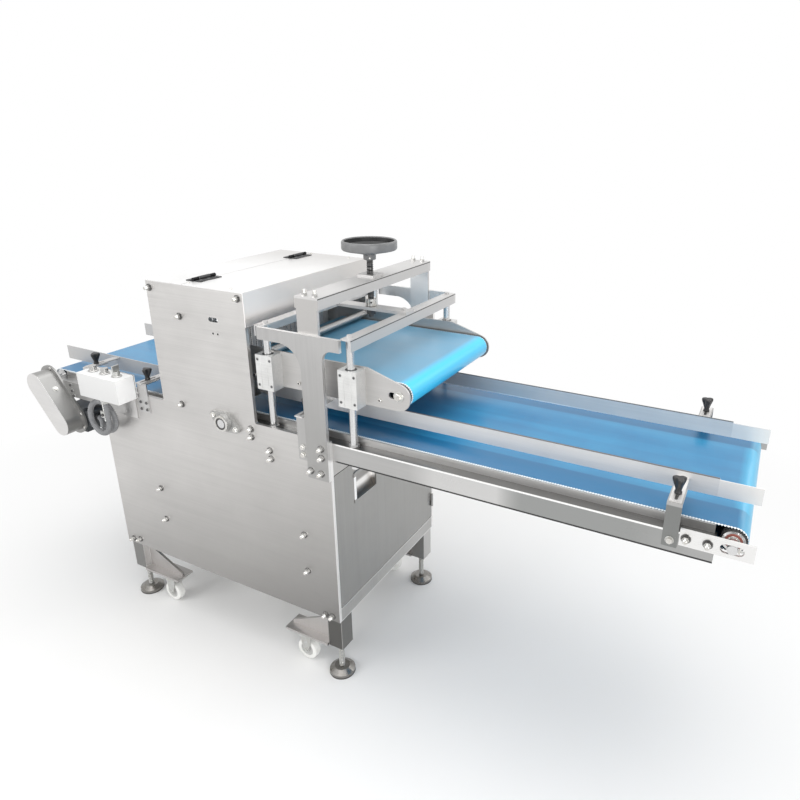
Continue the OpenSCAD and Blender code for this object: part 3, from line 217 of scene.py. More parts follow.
def leg_painted_light_zones(x, y, z):
    """Painted shade: the square tubes are darker than the castor brackets on them, the near infeed one most.

    By face: painted shade on the infeed tubes' ends, less on the far ones, painted light on the outfeed
    tubes' inner faces and painted highlights on the corners.
    """
    tubes = within(x, 0.0767, 0.0256) + within(x, -0.7467, 0.0256)
    corners = sum((within(x, c, 0.0008) for c in (0.1005, 0.0529, -0.7229, -0.7705)), 0)
    outfeed, far = 1 - spread(x, -0.41, -0.40), spread(y, 0.0, 0.05)
    end, inner = within(x, 0.1019, 0.0005), within(x, -0.7213, 0.0006)
    return ((tubes, (0.115, 0.113, 0.108)), (tubes * (1 - (1 - outfeed) * (1 - far)), (0.24, 0.238, 0.232)),
            (end, (0.21, 0.207, 0.20)), (inner, (0.80, 0.79, 0.78)), (corners, (0.42, 0.415, 0.405)),
            (end * far, (0.56, 0.55, 0.54)))


def rail_painted_light_zones(x, y, z):
    """Painted light and shade on the infeed rails: painted light at the middle, painted shade past it that
    eases off at the tail, a painted shadow on the top flange under the belt, and paler take-up plates.

    Their outer faces have a painted highlight at the top fold and a painted shade line at the bottom fold."""
    outer = spread(x, 0.56, 0.62)
    bright = spread(x, 0.33, 0.40) * (1 - outer)
    shade_past_middle = outer * (1 - 0.7 * spread(x, 0.86, 0.99))
    flange = within(z, 0.7765, 0.0010) * within(aside(y), 0.2523, 0.0170)
    face = spread(aside(y), 0.2692, 0.2696) * spread(x, 0.11, 0.12)
    take_up = within(aside(y), 0.2733, 0.0031) * spread(x, 0.9540, 0.9550)
    return ((bright, (0.59, 0.586, 0.58)), (shade_past_middle, (0.32, 0.325, 0.32)), (flange, (0.165, 0.164, 0.16)),
            (face * within(z, 0.7750, 0.0021), (0.95, 0.945, 0.935)),
            (face * within(z, 0.7269, 0.0021), (0.06, 0.06, 0.06)), (take_up, (0.80, 0.795, 0.785)))


def strip_painted_highlight_zones(x, y, z):
    """The folded edges of the strip under the door carry painted highlights."""
    return ((within(z, 0.2559, 0.0012) + within(z, 0.2142, 0.0013), (0.86, 0.855, 0.845)),)


def washer_zones(x, y, z):
    """The washers of the bolts are dark, on the plates, the T shaped brackets and the take-up plates."""
    washers = sum((within(aside(y), face, 0.0009) for face in (0.2808, 0.2908, 0.2768)), 0)
    return ((washers, (0.17, 0.168, 0.165)),)


def tee_painted_light_zones(x, y, z):
    """Painted shade darkens the T shaped brackets low down, and painted light brightens their cut edges and
    inner faces.
    """
    stem = 0.75 - 0.75 * spread(z, 0.80, 1.0)
    return ((stem, (0.36, 0.357, 0.35)), (within(aside(y), 0.285, 0.0046), (0.80, 0.795, 0.785)),
            (within(aside(y), 0.280, 0.0003), (0.92, 0.91, 0.90)))


def beam_painted_light_zones(x, y, z):
    """Painted shade: the beam and the cross angles have a dark line under each long top edge.

    The far upright carries painted light inside and the near one painted shade outside."""
    beam_line = within(z, 1.1513, 0.0013) * spread(x.math("ABSOLUTE", x - 0.060), 0.0346, 0.0349)
    angle_line = within(z, 1.0613, 0.0013) * spread(x.math("ABSOLUTE", x - 0.035), 0.1476, 0.1479)
    below = 1 - spread(z, 1.148, 1.150)
    return ((beam_line + angle_line, (0.10, 0.098, 0.095)),
            (within(y, 0.296, 0.0004) * below, (0.95, 0.94, 0.93)),
            (within(y, -0.256, 0.0004) * below, (0.46, 0.45, 0.44)))


def bracket_painted_light_zones(x, y, z):
    """Painted shade darkens the outermost infeed brackets below their seats, and painted light makes the near
    outfeed ones paler.
    """
    outfeed_near = (1 - spread(x, -0.41, -0.40)) * (1 - spread(y, -0.01, 0.01))
    outermost = spread(x, 0.90, 0.91) * (1 - spread(z, 0.832, 0.834))
    return ((outermost, (0.23, 0.235, 0.23)),
            (outfeed_near, (0.60, 0.595, 0.59)))


def hinge_zones(x, y, z):
    """The cover's hinges are black and the door's are plain steel."""
    return ((1 - spread(x, -0.01, 0.01), (0.014, 0.014, 0.015)),)


def guard_painted_shade_zones(x, y, z):
    """Painted shade makes the drive guard's rim darker than its front."""
    return ((within(y, -0.275, 0.0303), (0.33, 0.327, 0.32)),)


def guide_painted_light_zones(x, y, z):
    """The infeed guides have a painted shade line on the top edge, painted light on the free ends,
    and the far one a painted highlight on its bottom edge.

    Painted shade darkens the outfeed guides."""
    free = spread(x, 1.0065, 1.0075)
    far_foot = within(z, 0.8174, 0.0014) * spread(y, 0.0, 0.05) * (1 - spread(x, 0.55, 0.75))
    top = within(z, 0.8572, 0.0010) * (1 - free)
    return ((top, (0.20, 0.195, 0.19)), (free, (0.77, 0.752, 0.73)), (far_foot, (0.95, 0.95, 0.95)),
            (1 - spread(x, -0.42, -0.40), (0.52, 0.515, 0.51)))


def door_painted_light_zones(x, y, z):
    """The sunken pull has painted light in its middle, painted shade at its top and bottom, and a painted
    highlight on its near rim.
    """
    inside = (1 - spread(x, 0.1015, 0.1040)) * within(y, -0.100, 0.052) * within(z, 0.600, 0.045)
    near_rim = spread(x, 0.1052, 0.1056) * within(y, -0.1553, 0.0053) * within(z, 0.600, 0.035)
    return ((inside, (0.95, 0.93, 0.91)), (inside * spread(z, 0.600, 0.608), (0.34, 0.33, 0.32)),
            (inside * (1 - spread(z, 0.578, 0.590)), (0.38, 0.36, 0.34)), (near_rim, (1.0, 1.0, 1.0)))


def box_painted_light_zones(x, y, z):
    """Painted light makes the control box paler on its side, and painted shade darkens its front."""
    side, front = spread(x, -0.5987, -0.5981), 1 - spread(y, -0.3256, -0.3250)
    return (side, (0.93, 0.93, 0.925)), (front, (0.68, 0.68, 0.675))


def belt_tone_and_painted_light_zones(x, y, z):
    """Painted highlights at the press nose and the infeed tail, a painted sheen over the press belt,
    and a deeper blue outside the guides.
    """
    high = spread(z, 0.85, 0.86)
    nose = spread(x, 0.276, 0.302) * high
    outside = spread(aside(y), 0.155, 0.161) * (1 - high)
    tail = spread(x - outside * 0.012, 1.040, 1.066) * (1 - high)
    return ((0.7 * high, (0.15, 0.37, 0.52)), (0.85 * outside, (0.008, 0.13, 0.29)),
            (nose, (0.055, 0.58, 0.90)), (tail, (0.055, 0.44, 0.70)))


def ground_steel(name, tone, grain, rough, contrast=0.11, metal=0.92, zones=None):
    """Stainless steel ground along one axis, with broad streaks and handling marks."""
    finish, shader, place = begin_finish(name)
    fine = stretched(place, grain, 0.0012, 0.18)
    streak = stretched(place, grain, 0.011, 0.6, 3.0)
    cloud = speckle(place, 0.16, 4.0)
    handled = spread(speckle(place, 0.05, 5.0, 0.62), 0.52, 0.75)
    share = spread(fine * 0.40 + streak * 0.22 + cloud * 0.38, 0.34, 0.66)
    colour = tinted(share, scaled(tone, 1 - contrast), scaled(tone, 1 + contrast * 0.55))
    feed(shader, Base_Color=zoned(place, colour, zones),
         Roughness=rough + (fine - 0.5) * 0.22 + (cloud - 0.5) * 0.16 + handled * 0.06,
         Normal=bumped(fine * 0.8 + streak * 0.2, 0.07))
    fixed(shader, Metallic=metal)
    return finish


def machined_alloy(name, tone, rough):
    """Milled aluminium with a fine satin grain and faint feed marks."""
    finish, shader, place = begin_finish(name)
    grain = speckle(place, 0.0011, 2.0)
    feed_mark = stretched(place, "x", 0.004, 0.09)
    cloud = speckle(place, 0.035, 4.0)
    share = spread(grain * 0.3 + feed_mark * 0.3 + cloud * 0.4, 0.36, 0.64)
    feed(shader, Base_Color=tinted(share, scaled(tone, 0.86), scaled(tone, 1.06)),
         Roughness=rough + (cloud - 0.5) * 0.24, Normal=bumped(grain + feed_mark, 0.12))
    fixed(shader, Metallic=0.75)
    return finish


def plated_steel(name, tone, rough, metal=0.85):
    """Zinc plate: a cloudy grey with a trace of warm and cool tints."""
    finish, shader, place = begin_finish(name)
    cloud = speckle(place, 0.02, 5.0, 0.6)
    spangle = place.node("ShaderNodeTexVoronoi", (), {"Vector": place, "Scale": 260.0})
    share = spread(cloud * 0.75 + spangle * 0.3, 0.3, 0.75)
    warm = (tone[0] * 0.98, tone[1] * 0.95, tone[2] * 0.88)
    feed(shader, Base_Color=tinted(share, scaled(warm, 0.78), scaled(tone, 1.08)),
         Roughness=rough + (cloud - 0.5) * 0.3, Normal=bumped(cloud, 0.1))
    fixed(shader, Metallic=metal)
    return finish


def food_belt(name, low, high):
    """Smooth coated belt: a fine pressed weave under a soft gloss, with rubbed tracks along the run."""
    finish, shader, place = begin_finish(name)
    weave_x, weave_y = (place.node("ShaderNodeTexWave", {"bands_direction": axis},
                                   {"Vector": place, "Scale": 180.0, "Distortion": 0.6}) for axis in "XY")
    track = stretched(place, "x", 0.03, 0.9, 3.0)
    cloud = speckle(place, 0.12, 4.0)
    share = spread(track * 0.45 + cloud * 0.55, 0.33, 0.67)
    feed(shader, Base_Color=zoned(place, tinted(share, low, high), belt_tone_and_painted_light_zones),
         Roughness=0.34 + (track - 0.5) * 0.14 + (cloud - 0.5) * 0.12,
         Normal=bumped(weave_x * weave_y + cloud * 0.5, 0.05, 0.0004))
    fixed(shader, Coat_Weight=0.35, Coat_Roughness=0.26, Specular_IOR_Level=0.42)
    return finish


def moulded(name, low, high, rough, pebble=0.0009, depth=0.18, zones=None):
    """Moulded plastic, rubber or powder coat: a fine pebble and slow changes of tone."""
    finish, shader, place = begin_finish(name)
    grain = speckle(place, pebble, 2.0)
    cloud = speckle(place, 0.03, 4.0)
    share = spread(cloud * 0.7 + grain * 0.3, 0.34, 0.66)
    feed(shader, Base_Color=zoned(place, tinted(share, low, high), zones),
         Roughness=rough + (cloud - 0.5) * 0.2, Normal=bumped(grain, depth, 0.0004))
    return finish


# The steel finishes are one stainless steel; their tones differ part by part as painted light and shade:
# darker for the door, the rails, the legs, the T brackets and the guide brackets in the shade they stand in,
# paler for the cover under the light from above.
plate_ground = ground_steel("plate_ground", (0.60, 0.588, 0.575), "x", 0.42, zones=plate_painted_light_zones)
press_ground = ground_steel("press_ground", (0.54, 0.53, 0.52), "x", 0.42)
sheet_ground = {g: ground_steel("sheet_ground_" + g, (0.62, 0.612, 0.602), g, 0.36) for g in "xz"}
bright_ground = {g: ground_steel("bright_ground_" + g, (0.68, 0.68, 0.68), g, 0.24, 0.10) for g in "yz"}
door_ground = ground_steel("door_ground", (0.37, 0.366, 0.356), "z", 0.34, zones=door_painted_light_zones)
leg_ground = ground_steel("leg_ground", (0.49, 0.475, 0.465), "z", 0.38, zones=leg_painted_light_zones)
strip_ground = ground_steel("strip_ground", (0.50, 0.494, 0.482), "z", 0.34, zones=strip_painted_highlight_zones)
tee_ground = ground_steel("tee_ground", (0.47, 0.465, 0.46), "z", 0.38, zones=tee_painted_light_zones)
guard_ground = ground_steel("guard_ground", (0.70, 0.69, 0.68), "x", 0.40, 0.08, 0.8, guard_painted_shade_zones)
bracket_ground = ground_steel("bracket_ground", (0.46, 0.456, 0.45), "z", 0.32, zones=bracket_painted_light_zones)
cover_ground = ground_steel("cover_ground", (0.82, 0.817, 0.812), "y", 0.42, 0.06, 0.8, cover_painted_light_zones)
rail_ground = ground_steel("rail_ground", (0.45, 0.447, 0.442), "x", 0.32, zones=rail_painted_light_zones)
guide_ground = ground_steel("guide_ground", (0.70, 0.688, 0.676), "x", 0.44, 0.07, 0.65, guide_painted_light_zones)
beam_ground = ground_steel("beam_ground", (0.58, 0.572, 0.565), "y", 0.44, 0.08, 0.8, beam_painted_light_zones)
hinge_ground = ground_steel("hinge_ground", (0.42, 0.416, 0.41), "z", 0.36, zones=hinge_zones)
bolt_steel = plated_steel("bolt_steel", (0.70, 0.695, 0.685), 0.20, 1.0)
head_steel = ground_steel("head_steel", (0.52, 0.515, 0.505), "z", 0.22, 0.05, 1.0, washer_zones)
zinc_plate = plated_steel("zinc_plate", (0.60, 0.61, 0.61), 0.38)
screw_steel = plated_steel("screw_steel", (0.115, 0.115, 0.118), 0.34)
foot_steel = plated_steel("foot_steel", (0.26, 0.253, 0.245), 0.30)
block_alloy = machined_alloy("block_alloy", (0.71, 0.71, 0.70), 0.42)
bearing_alloy = machined_alloy("bearing_alloy", (0.43, 0.43, 0.42), 0.36)
blue_belt = food_belt("blue_belt", (0.015, 0.178, 0.375), (0.031, 0.258, 0.480))
belt_fibre = moulded("belt_fibre", (0.62, 0.68, 0.72), (0.82, 0.85, 0.86), 0.7, 0.002)
slide_plastic = moulded("slide_plastic", (0.80, 0.80, 0.77), (0.88, 0.88, 0.86), 0.45)
box_paint = moulded("box_paint", (0.73, 0.735, 0.73), (0.81, 0.812, 0.805), 0.38, 0.0013, 0.12, box_painted_light_zones)
motor_paint = moulded("motor_paint", (0.045, 0.05, 0.055), (0.075, 0.08, 0.085), 0.45, 0.0012)
black_moulding = moulded("black_moulding", (0.010, 0.010, 0.011), (0.024, 0.024, 0.026), 0.42)
wheel_moulding = moulded("wheel_moulding", (0.145, 0.146, 0.148), (0.205, 0.206, 0.208), 0.38, 0.0012)
# A much darker copy of the wheel's plastic: painted shade for the hollow inside the handwheel's dish.
dish_shade_lining = moulded("dish_shade_lining", (0.016, 0.016, 0.017), (0.034, 0.034, 0.035), 0.45, 0.0012)
hub_plastic = moulded("hub_plastic", (0.46, 0.46, 0.45), (0.56, 0.56, 0.55), 0.48)
hose_plastic = moulded("hose_plastic", (0.205, 0.208, 0.216), (0.320, 0.324, 0.332), 0.50)
tyre_rubber = moulded("tyre_rubber", (0.012, 0.012, 0.012), (0.030, 0.029, 0.028), 0.72, 0.0016, 0.3)
bearing_red = moulded("bearing_red", (0.22, 0.06, 0.045), (0.36, 0.11, 0.08), 0.5)

GRAIN = {"slider_beds": "x", "infeed_drive_roller": "y", "infeed_tail_roller": "y",
         "outfeed_drive_roller": "y", "press_roller_front": "y", "press_roller_rear": "y"}
GROUND = {"sheet_steel": sheet_ground, "bright_steel": bright_ground}
BY_SLOT = {"plate_steel": plate_ground, "cast_alloy": block_alloy, "zinc_steel": zinc_plate,
           "blue_belt": blue_belt, "white_plastic": slide_plastic, "white_paint": box_paint,
           "dark_paint": motor_paint, "black_plastic": black_moulding, "dark_plastic": wheel_moulding,
           "black_rubber": tyre_rubber}
OWN = {"fasteners": head_steel, "start_button": head_steel, "stop_button": head_steel,
       "speed_knob": zinc_plate, "press_side_plates": press_ground, "lift_screw": screw_steel,
       "levelling_feet": foot_steel, "service_door": door_ground, "cabinet_panels": strip_ground,
       "leg_frame": leg_ground, "tee_brackets": tee_ground, "blade_cover": cover_ground,
       "tower_panels": cover_ground, "conveyor_rails": rail_ground, "press_gantry": beam_ground,
       "lift_bars": beam_ground, "drive_guard": guard_ground, "guide_brackets": bracket_ground,
       "flange_bearings": bearing_alloy, "hinge_halves": hinge_ground}
OWN.update({"_".join(("guide", line, side)): guide_ground
            for line in ("infeed", "outfeed") for side in SIDES})


def finish_for(node, slot):
    """The finish of a CAD node: its own one, or that of its slot, ground along the node's grain."""
    if node in OWN:
        return OWN[node]
    if slot in GROUND:
        return GROUND[slot][GRAIN.get(node, "z")]
    return BY_SLOT[slot]


for node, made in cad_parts.items():
    for slot in made.material_slots:
        slot.material = finish_for(node, slot.material.name)


# Making shapes


def put(name, mesh):
    """A mesh in the scene under a name."""
    piece = bpy.data.objects.new(name, mesh)
    bpy.context.scene.collection.objects.link(piece)
    return piece


class Batch:
    """Shapes in machine millimetres that ride together, gathered into one mesh."""

    def __init__(self):
        self.points, self.faces, self.finish_no, self.finishes = [], [], [], []

    def add(self, points, faces, finish):
        if finish not in self.finishes:
            self.finishes.append(finish)
        base = len(self.points)
        self.points += [tuple(p) for p in points]
        self.faces += [[base + i for i in face] for face in faces]
        self.finish_no += [self.finishes.index(finish)] * len(faces)

    def turn(self, centre, axis, outline, finish, steps=32, lobes=None):
        """An outline of (radius, height) turned round an axis. lobes(angle, height) scales the radius."""
        axis = Vector(axis).normalized()
        u = axis.orthogonal().normalized()
        v = axis.cross(u)
        n = len(outline)
        points, faces = [], []
        for k in range(steps):
            a = 2 * math.pi * k / steps
            way = u * math.cos(a) + v * math.sin(a)
            for r, h in outline:
                points.append(Vector(centre) + way * (r * (lobes(a, h) if lobes else 1)) + axis * h)
            here, after = k * n, (k + 1) % steps * n
            faces += [[here + i, after + i, after + (i + 1) % n, here + (i + 1) % n] for i in range(n)]
        self.add(points, faces, finish)

    def hex_bolt(self, centre, way, hole, washer, radius, heights, edge=1.0, finish=bolt_steel):
        """A washer and a hexagon head. Its heights: the washer's foot, the head's foot and the head's top."""
        foot, seat, top = heights
        self.turn(centre, way, rim(hole, washer, foot, seat), zinc_plate)
        self.turn(centre, way, head(radius, seat, top, edge), finish, 6)

    def block(self, low, high, finish, edge=0.8):
        """A box with its edges broken."""
        made = bmesh.new()
        bmesh.ops.create_cube(made, size=1.0)
        low, high = Vector(low), Vector(high)
        for v in made.verts:
            v.co = Vector([low[i] + (v.co[i] + 0.5) * (high[i] - low[i]) for i in range(3)])
        bmesh.ops.bevel(made, geom=list(made.edges), offset=edge, segments=2, affect="EDGES", profile=0.5)
        made.verts.ensure_lookup_table()
        self.add([v.co.copy() for v in made.verts], [[v.index for v in f.verts] for f in made.faces], finish)
        made.free()

    def piece(self, name, body, slot, sharp=35):
        """Ends the gathering: one object that rides on a body."""
        mesh = bpy.data.meshes.new(name)
        mesh.from_pydata([spot(*p) for p in self.points], [], self.faces)
        for finish in self.finishes:
            mesh.materials.append(finish)
        mesh.polygons.foreach_set("material_index", self.finish_no)
        return settle(put(name, mesh), body, sharp)


def settle(piece, body, sharp=35):
    """Merges doubles, turns faces outwards, smooths up to an angle and sets the piece on its body."""
    made = bmesh.new()
    made.from_mesh(piece.data)
    bmesh.ops.remove_doubles(made, verts=made.verts, dist=1e-6)
    bmesh.ops.dissolve_degenerate(made, edges=made.edges, dist=1e-7)
    bmesh.ops.recalc_face_normals(made, faces=made.faces)
    made.to_mesh(piece.data)
    made.free()
    for face in piece.data.polygons:
        face.use_smooth = True
    piece.data.set_sharp_from_angle(angle=math.radians(sharp))
    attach(piece, body)
    return piece


def rim(r_in, r_out, h0, h1, edge=0.5):
    """Outline of a flat ring with broken outer edges."""
    return [(r_in, h0), (r_out - edge, h0), (r_out, h0 + edge), (r_out, h1 - edge), (r_out - edge, h1),
            (r_in, h1)]


def head(r, h0, h1, edge=0.8):
    """Outline of a solid round head."""
    return [(0, h0), (r, h0), (r, h1 - edge), (r - edge, h1), (0, h1)]


# Geometry node trees for what repeats


def grown(name, sizes, finishes):
    """The first wires of a new geometry tree: its geometry, its sizes and its finishes."""
    tree = bpy.data.node_groups.new(name, "GeometryNodeTree")
    inputs = [("Geometry", "Geometry")]
    inputs += [(label, "Float") for label in sizes] + [(label, "Material") for label in finishes]
    for label, kind in inputs:
        tree.interface.new_socket(label, in_out="INPUT", socket_type="NodeSocket" + kind)
    tree.interface.new_socket("Geometry", in_out="OUTPUT", socket_type="NodeSocketGeometry")
    return [Wire(tree, socket) for socket in tree.nodes.new("NodeGroupInput").outputs if socket.name]


def ended(wire):
    """Ends a geometry tree with a wire and gives back the tree."""
    wire.tree.links.new(wire.socket, wire.tree.nodes.new("NodeGroupOutput").inputs[0])
    return wire.tree


def grow(name, tree, points, edges, values, vectors=None):
    """Runs a tree on points (and edges) in machine millimetres and gives back a plain mesh object."""
    seed = bpy.data.meshes.new(name + "_seed")
    seed.from_pydata([spot(*p) for p in points], edges, [])
    if vectors:
        facing = seed.attributes.new("facing", "FLOAT_VECTOR", "POINT")
        facing.data.foreach_set("vector", [c for v in vectors for c in v])
    carrier = put(name + "_seed", seed)
    modifier = carrier.modifiers.new("grown", "NODES")
    modifier.node_group = tree
    for item in tree.interface.items_tree:
        if item.in_out == "INPUT" and item.name in values:
            modifier[item.identifier] = values[item.name]
    graph = bpy.context.evaluated_depsgraph_get()
    mesh = bpy.data.meshes.new_from_object(carrier.evaluated_get(graph), depsgraph=graph)
    bpy.data.objects.remove(carrier)
    mesh.name = name
    return put(name, mesh)


def facing_turn(wire):
    """A rotation that brings the instance's z axis to the point's own facing."""
    facing = wire.node("GeometryNodeInputNamedAttribute", {"data_type": "FLOAT_VECTOR"}, {"Name": "facing"})
    return wire.node("FunctionNodeAlignRotationToVector", {"axis": "Z"}, {"Vector": facing})


def even_path(points, pitch):
    """The seed's edges as curves with points at an even pitch."""
    return points.node("GeometryNodeResampleCurve", {"mode": "LENGTH"},
                       {"Curve": points.shape("MeshToCurve", Mesh=points), "Length": pitch})


def socket_screw_tree():
    """Cap screws, one on each point, with a dark hexagon disc on the head as painted shade for the socket's
    recess.
    """
    points, r, h, head_finish, socket_finish = grown(
        "socket_screws", ("Head radius", "Head height"), ("Head finish", "Socket finish"))

    def raised(part, height):
        lift = points.node("ShaderNodeCombineXYZ", (), {"Z": height})
        return points.shape("Transform", Geometry=part, Translation=lift)

    body = raised(points.shape("MeshCylinder", Vertices=20, Radius=r, Depth=h), h * 0.5)
    bevel = raised(points.shape("MeshCone", Vertices=20, Radius_Bottom=r, Radius_Top=r * 0.86,
                                Depth=h * 0.18), h)
    hexagon = raised(points.shape("MeshCylinder", Vertices=6, Radius=r * 0.52, Depth=h * 0.04), h * 1.19)
    steel = points.shape("SetMaterial", Geometry=points.shape("JoinGeometry", Geometry=[body, bevel]),
                         Material=head_finish)
    dark = points.shape("SetMaterial", Geometry=hexagon, Material=socket_finish)
    screw = points.shape("JoinGeometry", Geometry=[steel, dark])
    placed = points.shape("InstanceOnPoints", Points=points, Instance=screw, Rotation=facing_turn(points))
    return ended(points.shape("RealizeInstances", Geometry=placed))


def ribbed_hose_tree():
    """A hose along a path with a round rib at every pitch."""
    points, radius, rib_height, pitch, finish = grown(
        "ribbed_hose", ("Hose radius", "Rib height", "Rib pitch"), ("Hose finish",))
    path = even_path(points, pitch)
    section = points.shape("CurvePrimitiveCircle", Resolution=16, Radius=radius)
    tube = points.shape("CurveToMesh", Curve=path, Profile_Curve=section, Fill_Caps=True)
    rib_section = points.shape("CurvePrimitiveCircle", Resolution=6, Radius=rib_height)
    rib = points.shape("CurveToMesh", Curve=section, Profile_Curve=rib_section)
    turn = points.node("FunctionNodeAlignRotationToVector", {"axis": "Z"},
                       {"Vector": points.shape("InputTangent")})
    ribs = points.shape("InstanceOnPoints", Points=path, Instance=rib, Rotation=turn)
    real = points.shape("RealizeInstances", Geometry=points.shape("JoinGeometry", Geometry=[tube, ribs]))
    return ended(points.shape("SetMaterial", Geometry=real, Material=finish))


def toothed_edge_tree():
    """Small wedge teeth at an even pitch along each path, pointing the way that the path's points face."""
    points, pitch, depth, thickness, finish = grown(
        "toothed_edge", ("Tooth pitch", "Tooth depth", "Tooth thickness"), ("Tooth finish",))
    cone = points.shape("MeshCone", Vertices=4, Radius_Bottom=pitch * 0.62, Radius_Top=0.0, Depth=depth)
    flat = points.node("ShaderNodeCombineXYZ", (), {"X": thickness, "Y": 1.0, "Z": 1.0})
    tooth = points.shape("Transform", Geometry=cone, Scale=flat)
    along = points.node("FunctionNodeAlignRotationToVector", {"axis": "Y", "pivot_axis": "Z"},
                        {"Rotation": facing_turn(points), "Vector": points.shape("InputTangent")})
    teeth = points.shape("InstanceOnPoints", Points=even_path(points, pitch), Instance=tooth, Rotation=along)
    real = points.shape("RealizeInstances", Geometry=teeth)
    return ended(points.shape("SetMaterial", Geometry=real, Material=finish))


def screw_thread_tree():
    """A spiral thread ridge round the z axis, standing on each point."""
    points, radius, pitch, length, finish = grown(
        "screw_thread", ("Core radius", "Thread pitch", "Thread length"), ("Thread finish",))
    spiral = points.shape("CurveSpiral", Resolution=24, Rotations=points.math("DIVIDE", length, pitch),
                          Start_Radius=radius, End_Radius=radius, Height=length)
    ridge = points.shape("CurvePrimitiveCircle", Resolution=4, Radius=pitch * 0.36)
    thread = points.shape("CurveToMesh", Curve=spiral, Profile_Curve=ridge, Fill_Caps=True)
    placed = points.shape("InstanceOnPoints", Points=points, Instance=thread)
    real = points.shape("RealizeInstances", Geometry=placed)
    return ended(points.shape("SetMaterial", Geometry=real, Material=finish))


SCREWS, HOSE = socket_screw_tree(), ribbed_hose_tree()
TEETH, THREAD = toothed_edge_tree(), screw_thread_tree()


def cap_screws(name, body, places, radius, height, finish=bolt_steel):
    """Socket screws at (x, y, z, facing) places."""
    made = grow(name, SCREWS, [p[:3] for p in places], [],
                {"Head radius": radius / 1000, "Head height": height / 1000, "Head finish": finish,
                 "Socket finish": black_moulding}, [p[3] for p in places])
    return settle(made, body)


def threads(name, body, places, radius, pitch, length, finish):
    """Upright screw threads that stand at (x, y, z) places."""
    made = grow(name, THREAD, places, [], {"Core radius": radius / 1000, "Thread pitch": pitch / 1000,
                                           "Thread length": length / 1000, "Thread finish": finish})
    return settle(made, body, 60)


def loop_path(x0, x1, z, r, y, gap=12):
    """Points round a belt loop that bends round x0 and x1."""
    points, steps = [], max(2, round((x1 - x0) / gap))
    for start, end, way, first in ((x0, x1, 1, 0.5), (x1, x0, -1, 1.5)):
        points += [(start + (end - start) * i / steps, y, z + way * r) for i in range(steps + 1)]
        bend = [math.pi * (first - i / 16) for i in range(1, 16)]
        points += [(end + r * math.cos(a), y, z + r * math.sin(a)) for a in bend]
    return points


def belt_edges(name, body, loops, y0, y1):
    """Light fibre teeth along both edges of belts."""
    points, edges, facing = [], [], []
    for x0, x1, z, r in loops:
        for y, way in ((y0, -1), (y1, 1)):
            base, run = len(points), loop_path(x0, x1, z, r, y)
            points += run
            facing += [(0, way, 0)] * len(run)
            edges += [(base + i, base + (i + 1) % len(run)) for i in range(len(run))]
    made = grow(name, TEETH, points, edges,
                {"Tooth pitch": 0.006, "Tooth depth": 0.0058, "Tooth thickness": 0.42,
                 "Tooth finish": belt_fibre}, facing)
    return settle(made, body)


# The conduit, along the route of its solid


def conduit_route():
    """The conduit's centre line: a drop, one and a quarter loops, then across to the terminal box."""
    x, y, z = BOX_GLAND
    drop, bend, advance = 75, 50, 22
    points = [(x, y, z - drop * i / 5) for i in range(5)]
    for i in range(41):
        a = math.radians(450 * i / 40)
        points.append((x - bend + bend * math.cos(a), y + advance * math.degrees(a) / 360,
                       z - drop - bend * math.sin(a)))
    x, y, z = points[-1]
    for i in range(1, 16):
        t = i / 15
        s = t * t * (3 - 2 * t)
        points.append((x + (TERMINAL[0] - x) * t, y + (TERMINAL[1] - y) * s, z + (TERMINAL[2] - z) * s))
    return points


route = conduit_route()
hose = grow("conduit_hose", HOSE, route, [(i, i + 1) for i in range(len(route) - 1)],
            {"Hose radius": 0.0071, "Rib height": 0.0017, "Rib pitch": 0.0060, "Hose finish": hose_plastic})
settle(hose, "frame", 60)
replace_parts(hose, "conduit")
centre_line = [spot(*p) for p in route]


# Fine pieces

belt_edges("bread_belt_edges", "frame",
           [(DRIVE_X, TAIL_X, INFEED_Z, 26.2), (OUTFEED_X, OUTFEED_NOSE_X, OUTFEED_Z, 26.2)], 46.6, 513.4)
belt_edges("press_belt_edges", "press_carriage", [(PRESS_REAR_X, PRESS_NOSE_X, PRESS_Z, 29.8)], 60.7, 499.3)

cap_screws("block_screws", "press_carriage",
           [(x + dx, across(side, 6.5), BLOCK_Z + dz, outward(side))
            for side in BOTH for x in POSTS_X for dx in (-20, 20) for dz in (-35, 35)],
           3.7, 2.0, wheel_moulding)
seals = Batch()
for side in BOTH:
    for x in POSTS_X:
        for way in (1, -1):
            seals.turn((x, across(side, 24.5), BLOCK_Z + way * 47.9), (0, 0, way), rim(10.15, 14.9, -2.9, 0),
                       black_moulding)
seals.piece("post_seals", "press_carriage", "black_rubber")

bearings = Batch()
tilt = math.radians(20)
for side in BOTH:
    y, out = across(side, 0), outward(side)
    bearings.turn((DRIVE_X, y, INFEED_Z), out, rim(12.7, 17.5, 21.6, 23.2), screw_steel)
    bearings.turn((DRIVE_X, y, INFEED_Z), out, rim(17.6, 23.5, 21.8, 24.4, 0.9), bolt_steel)
    for reach in (-42, 42):
        bearings.hex_bolt((DRIVE_X + reach * math.cos(tilt), y, INFEED_Z - reach * math.sin(tilt)), out,
                          4.5, 9, 7.2, (10.0, 11.6, 16.5))
bearings.piece("bearing_trim", "frame", "zinc_steel")


def toothed(a, h):
    """Thirty low teeth round a roller's end."""
    return 1 + 0.02 * math.cos(30 * a)


tail = Batch()
for side in BOTH:
    at, out = (TAIL_X, across(side, 47), INFEED_Z), outward(side)
    tail.turn(at, out, rim(17.5, 24.2, 1.2, 9.4, 0.6), tyre_rubber, 120, toothed)
    tail.turn(at, out, rim(10.1, 17.2, 8.2, 10.6, 0.4), bearing_red)
    tail.turn(at, out, rim(10.1, 12.4, 10.6, 12.0, 0.4), bolt_steel)
tail.piece("tail_roller_ends", "infeed_tail_roller", "black_rubber")

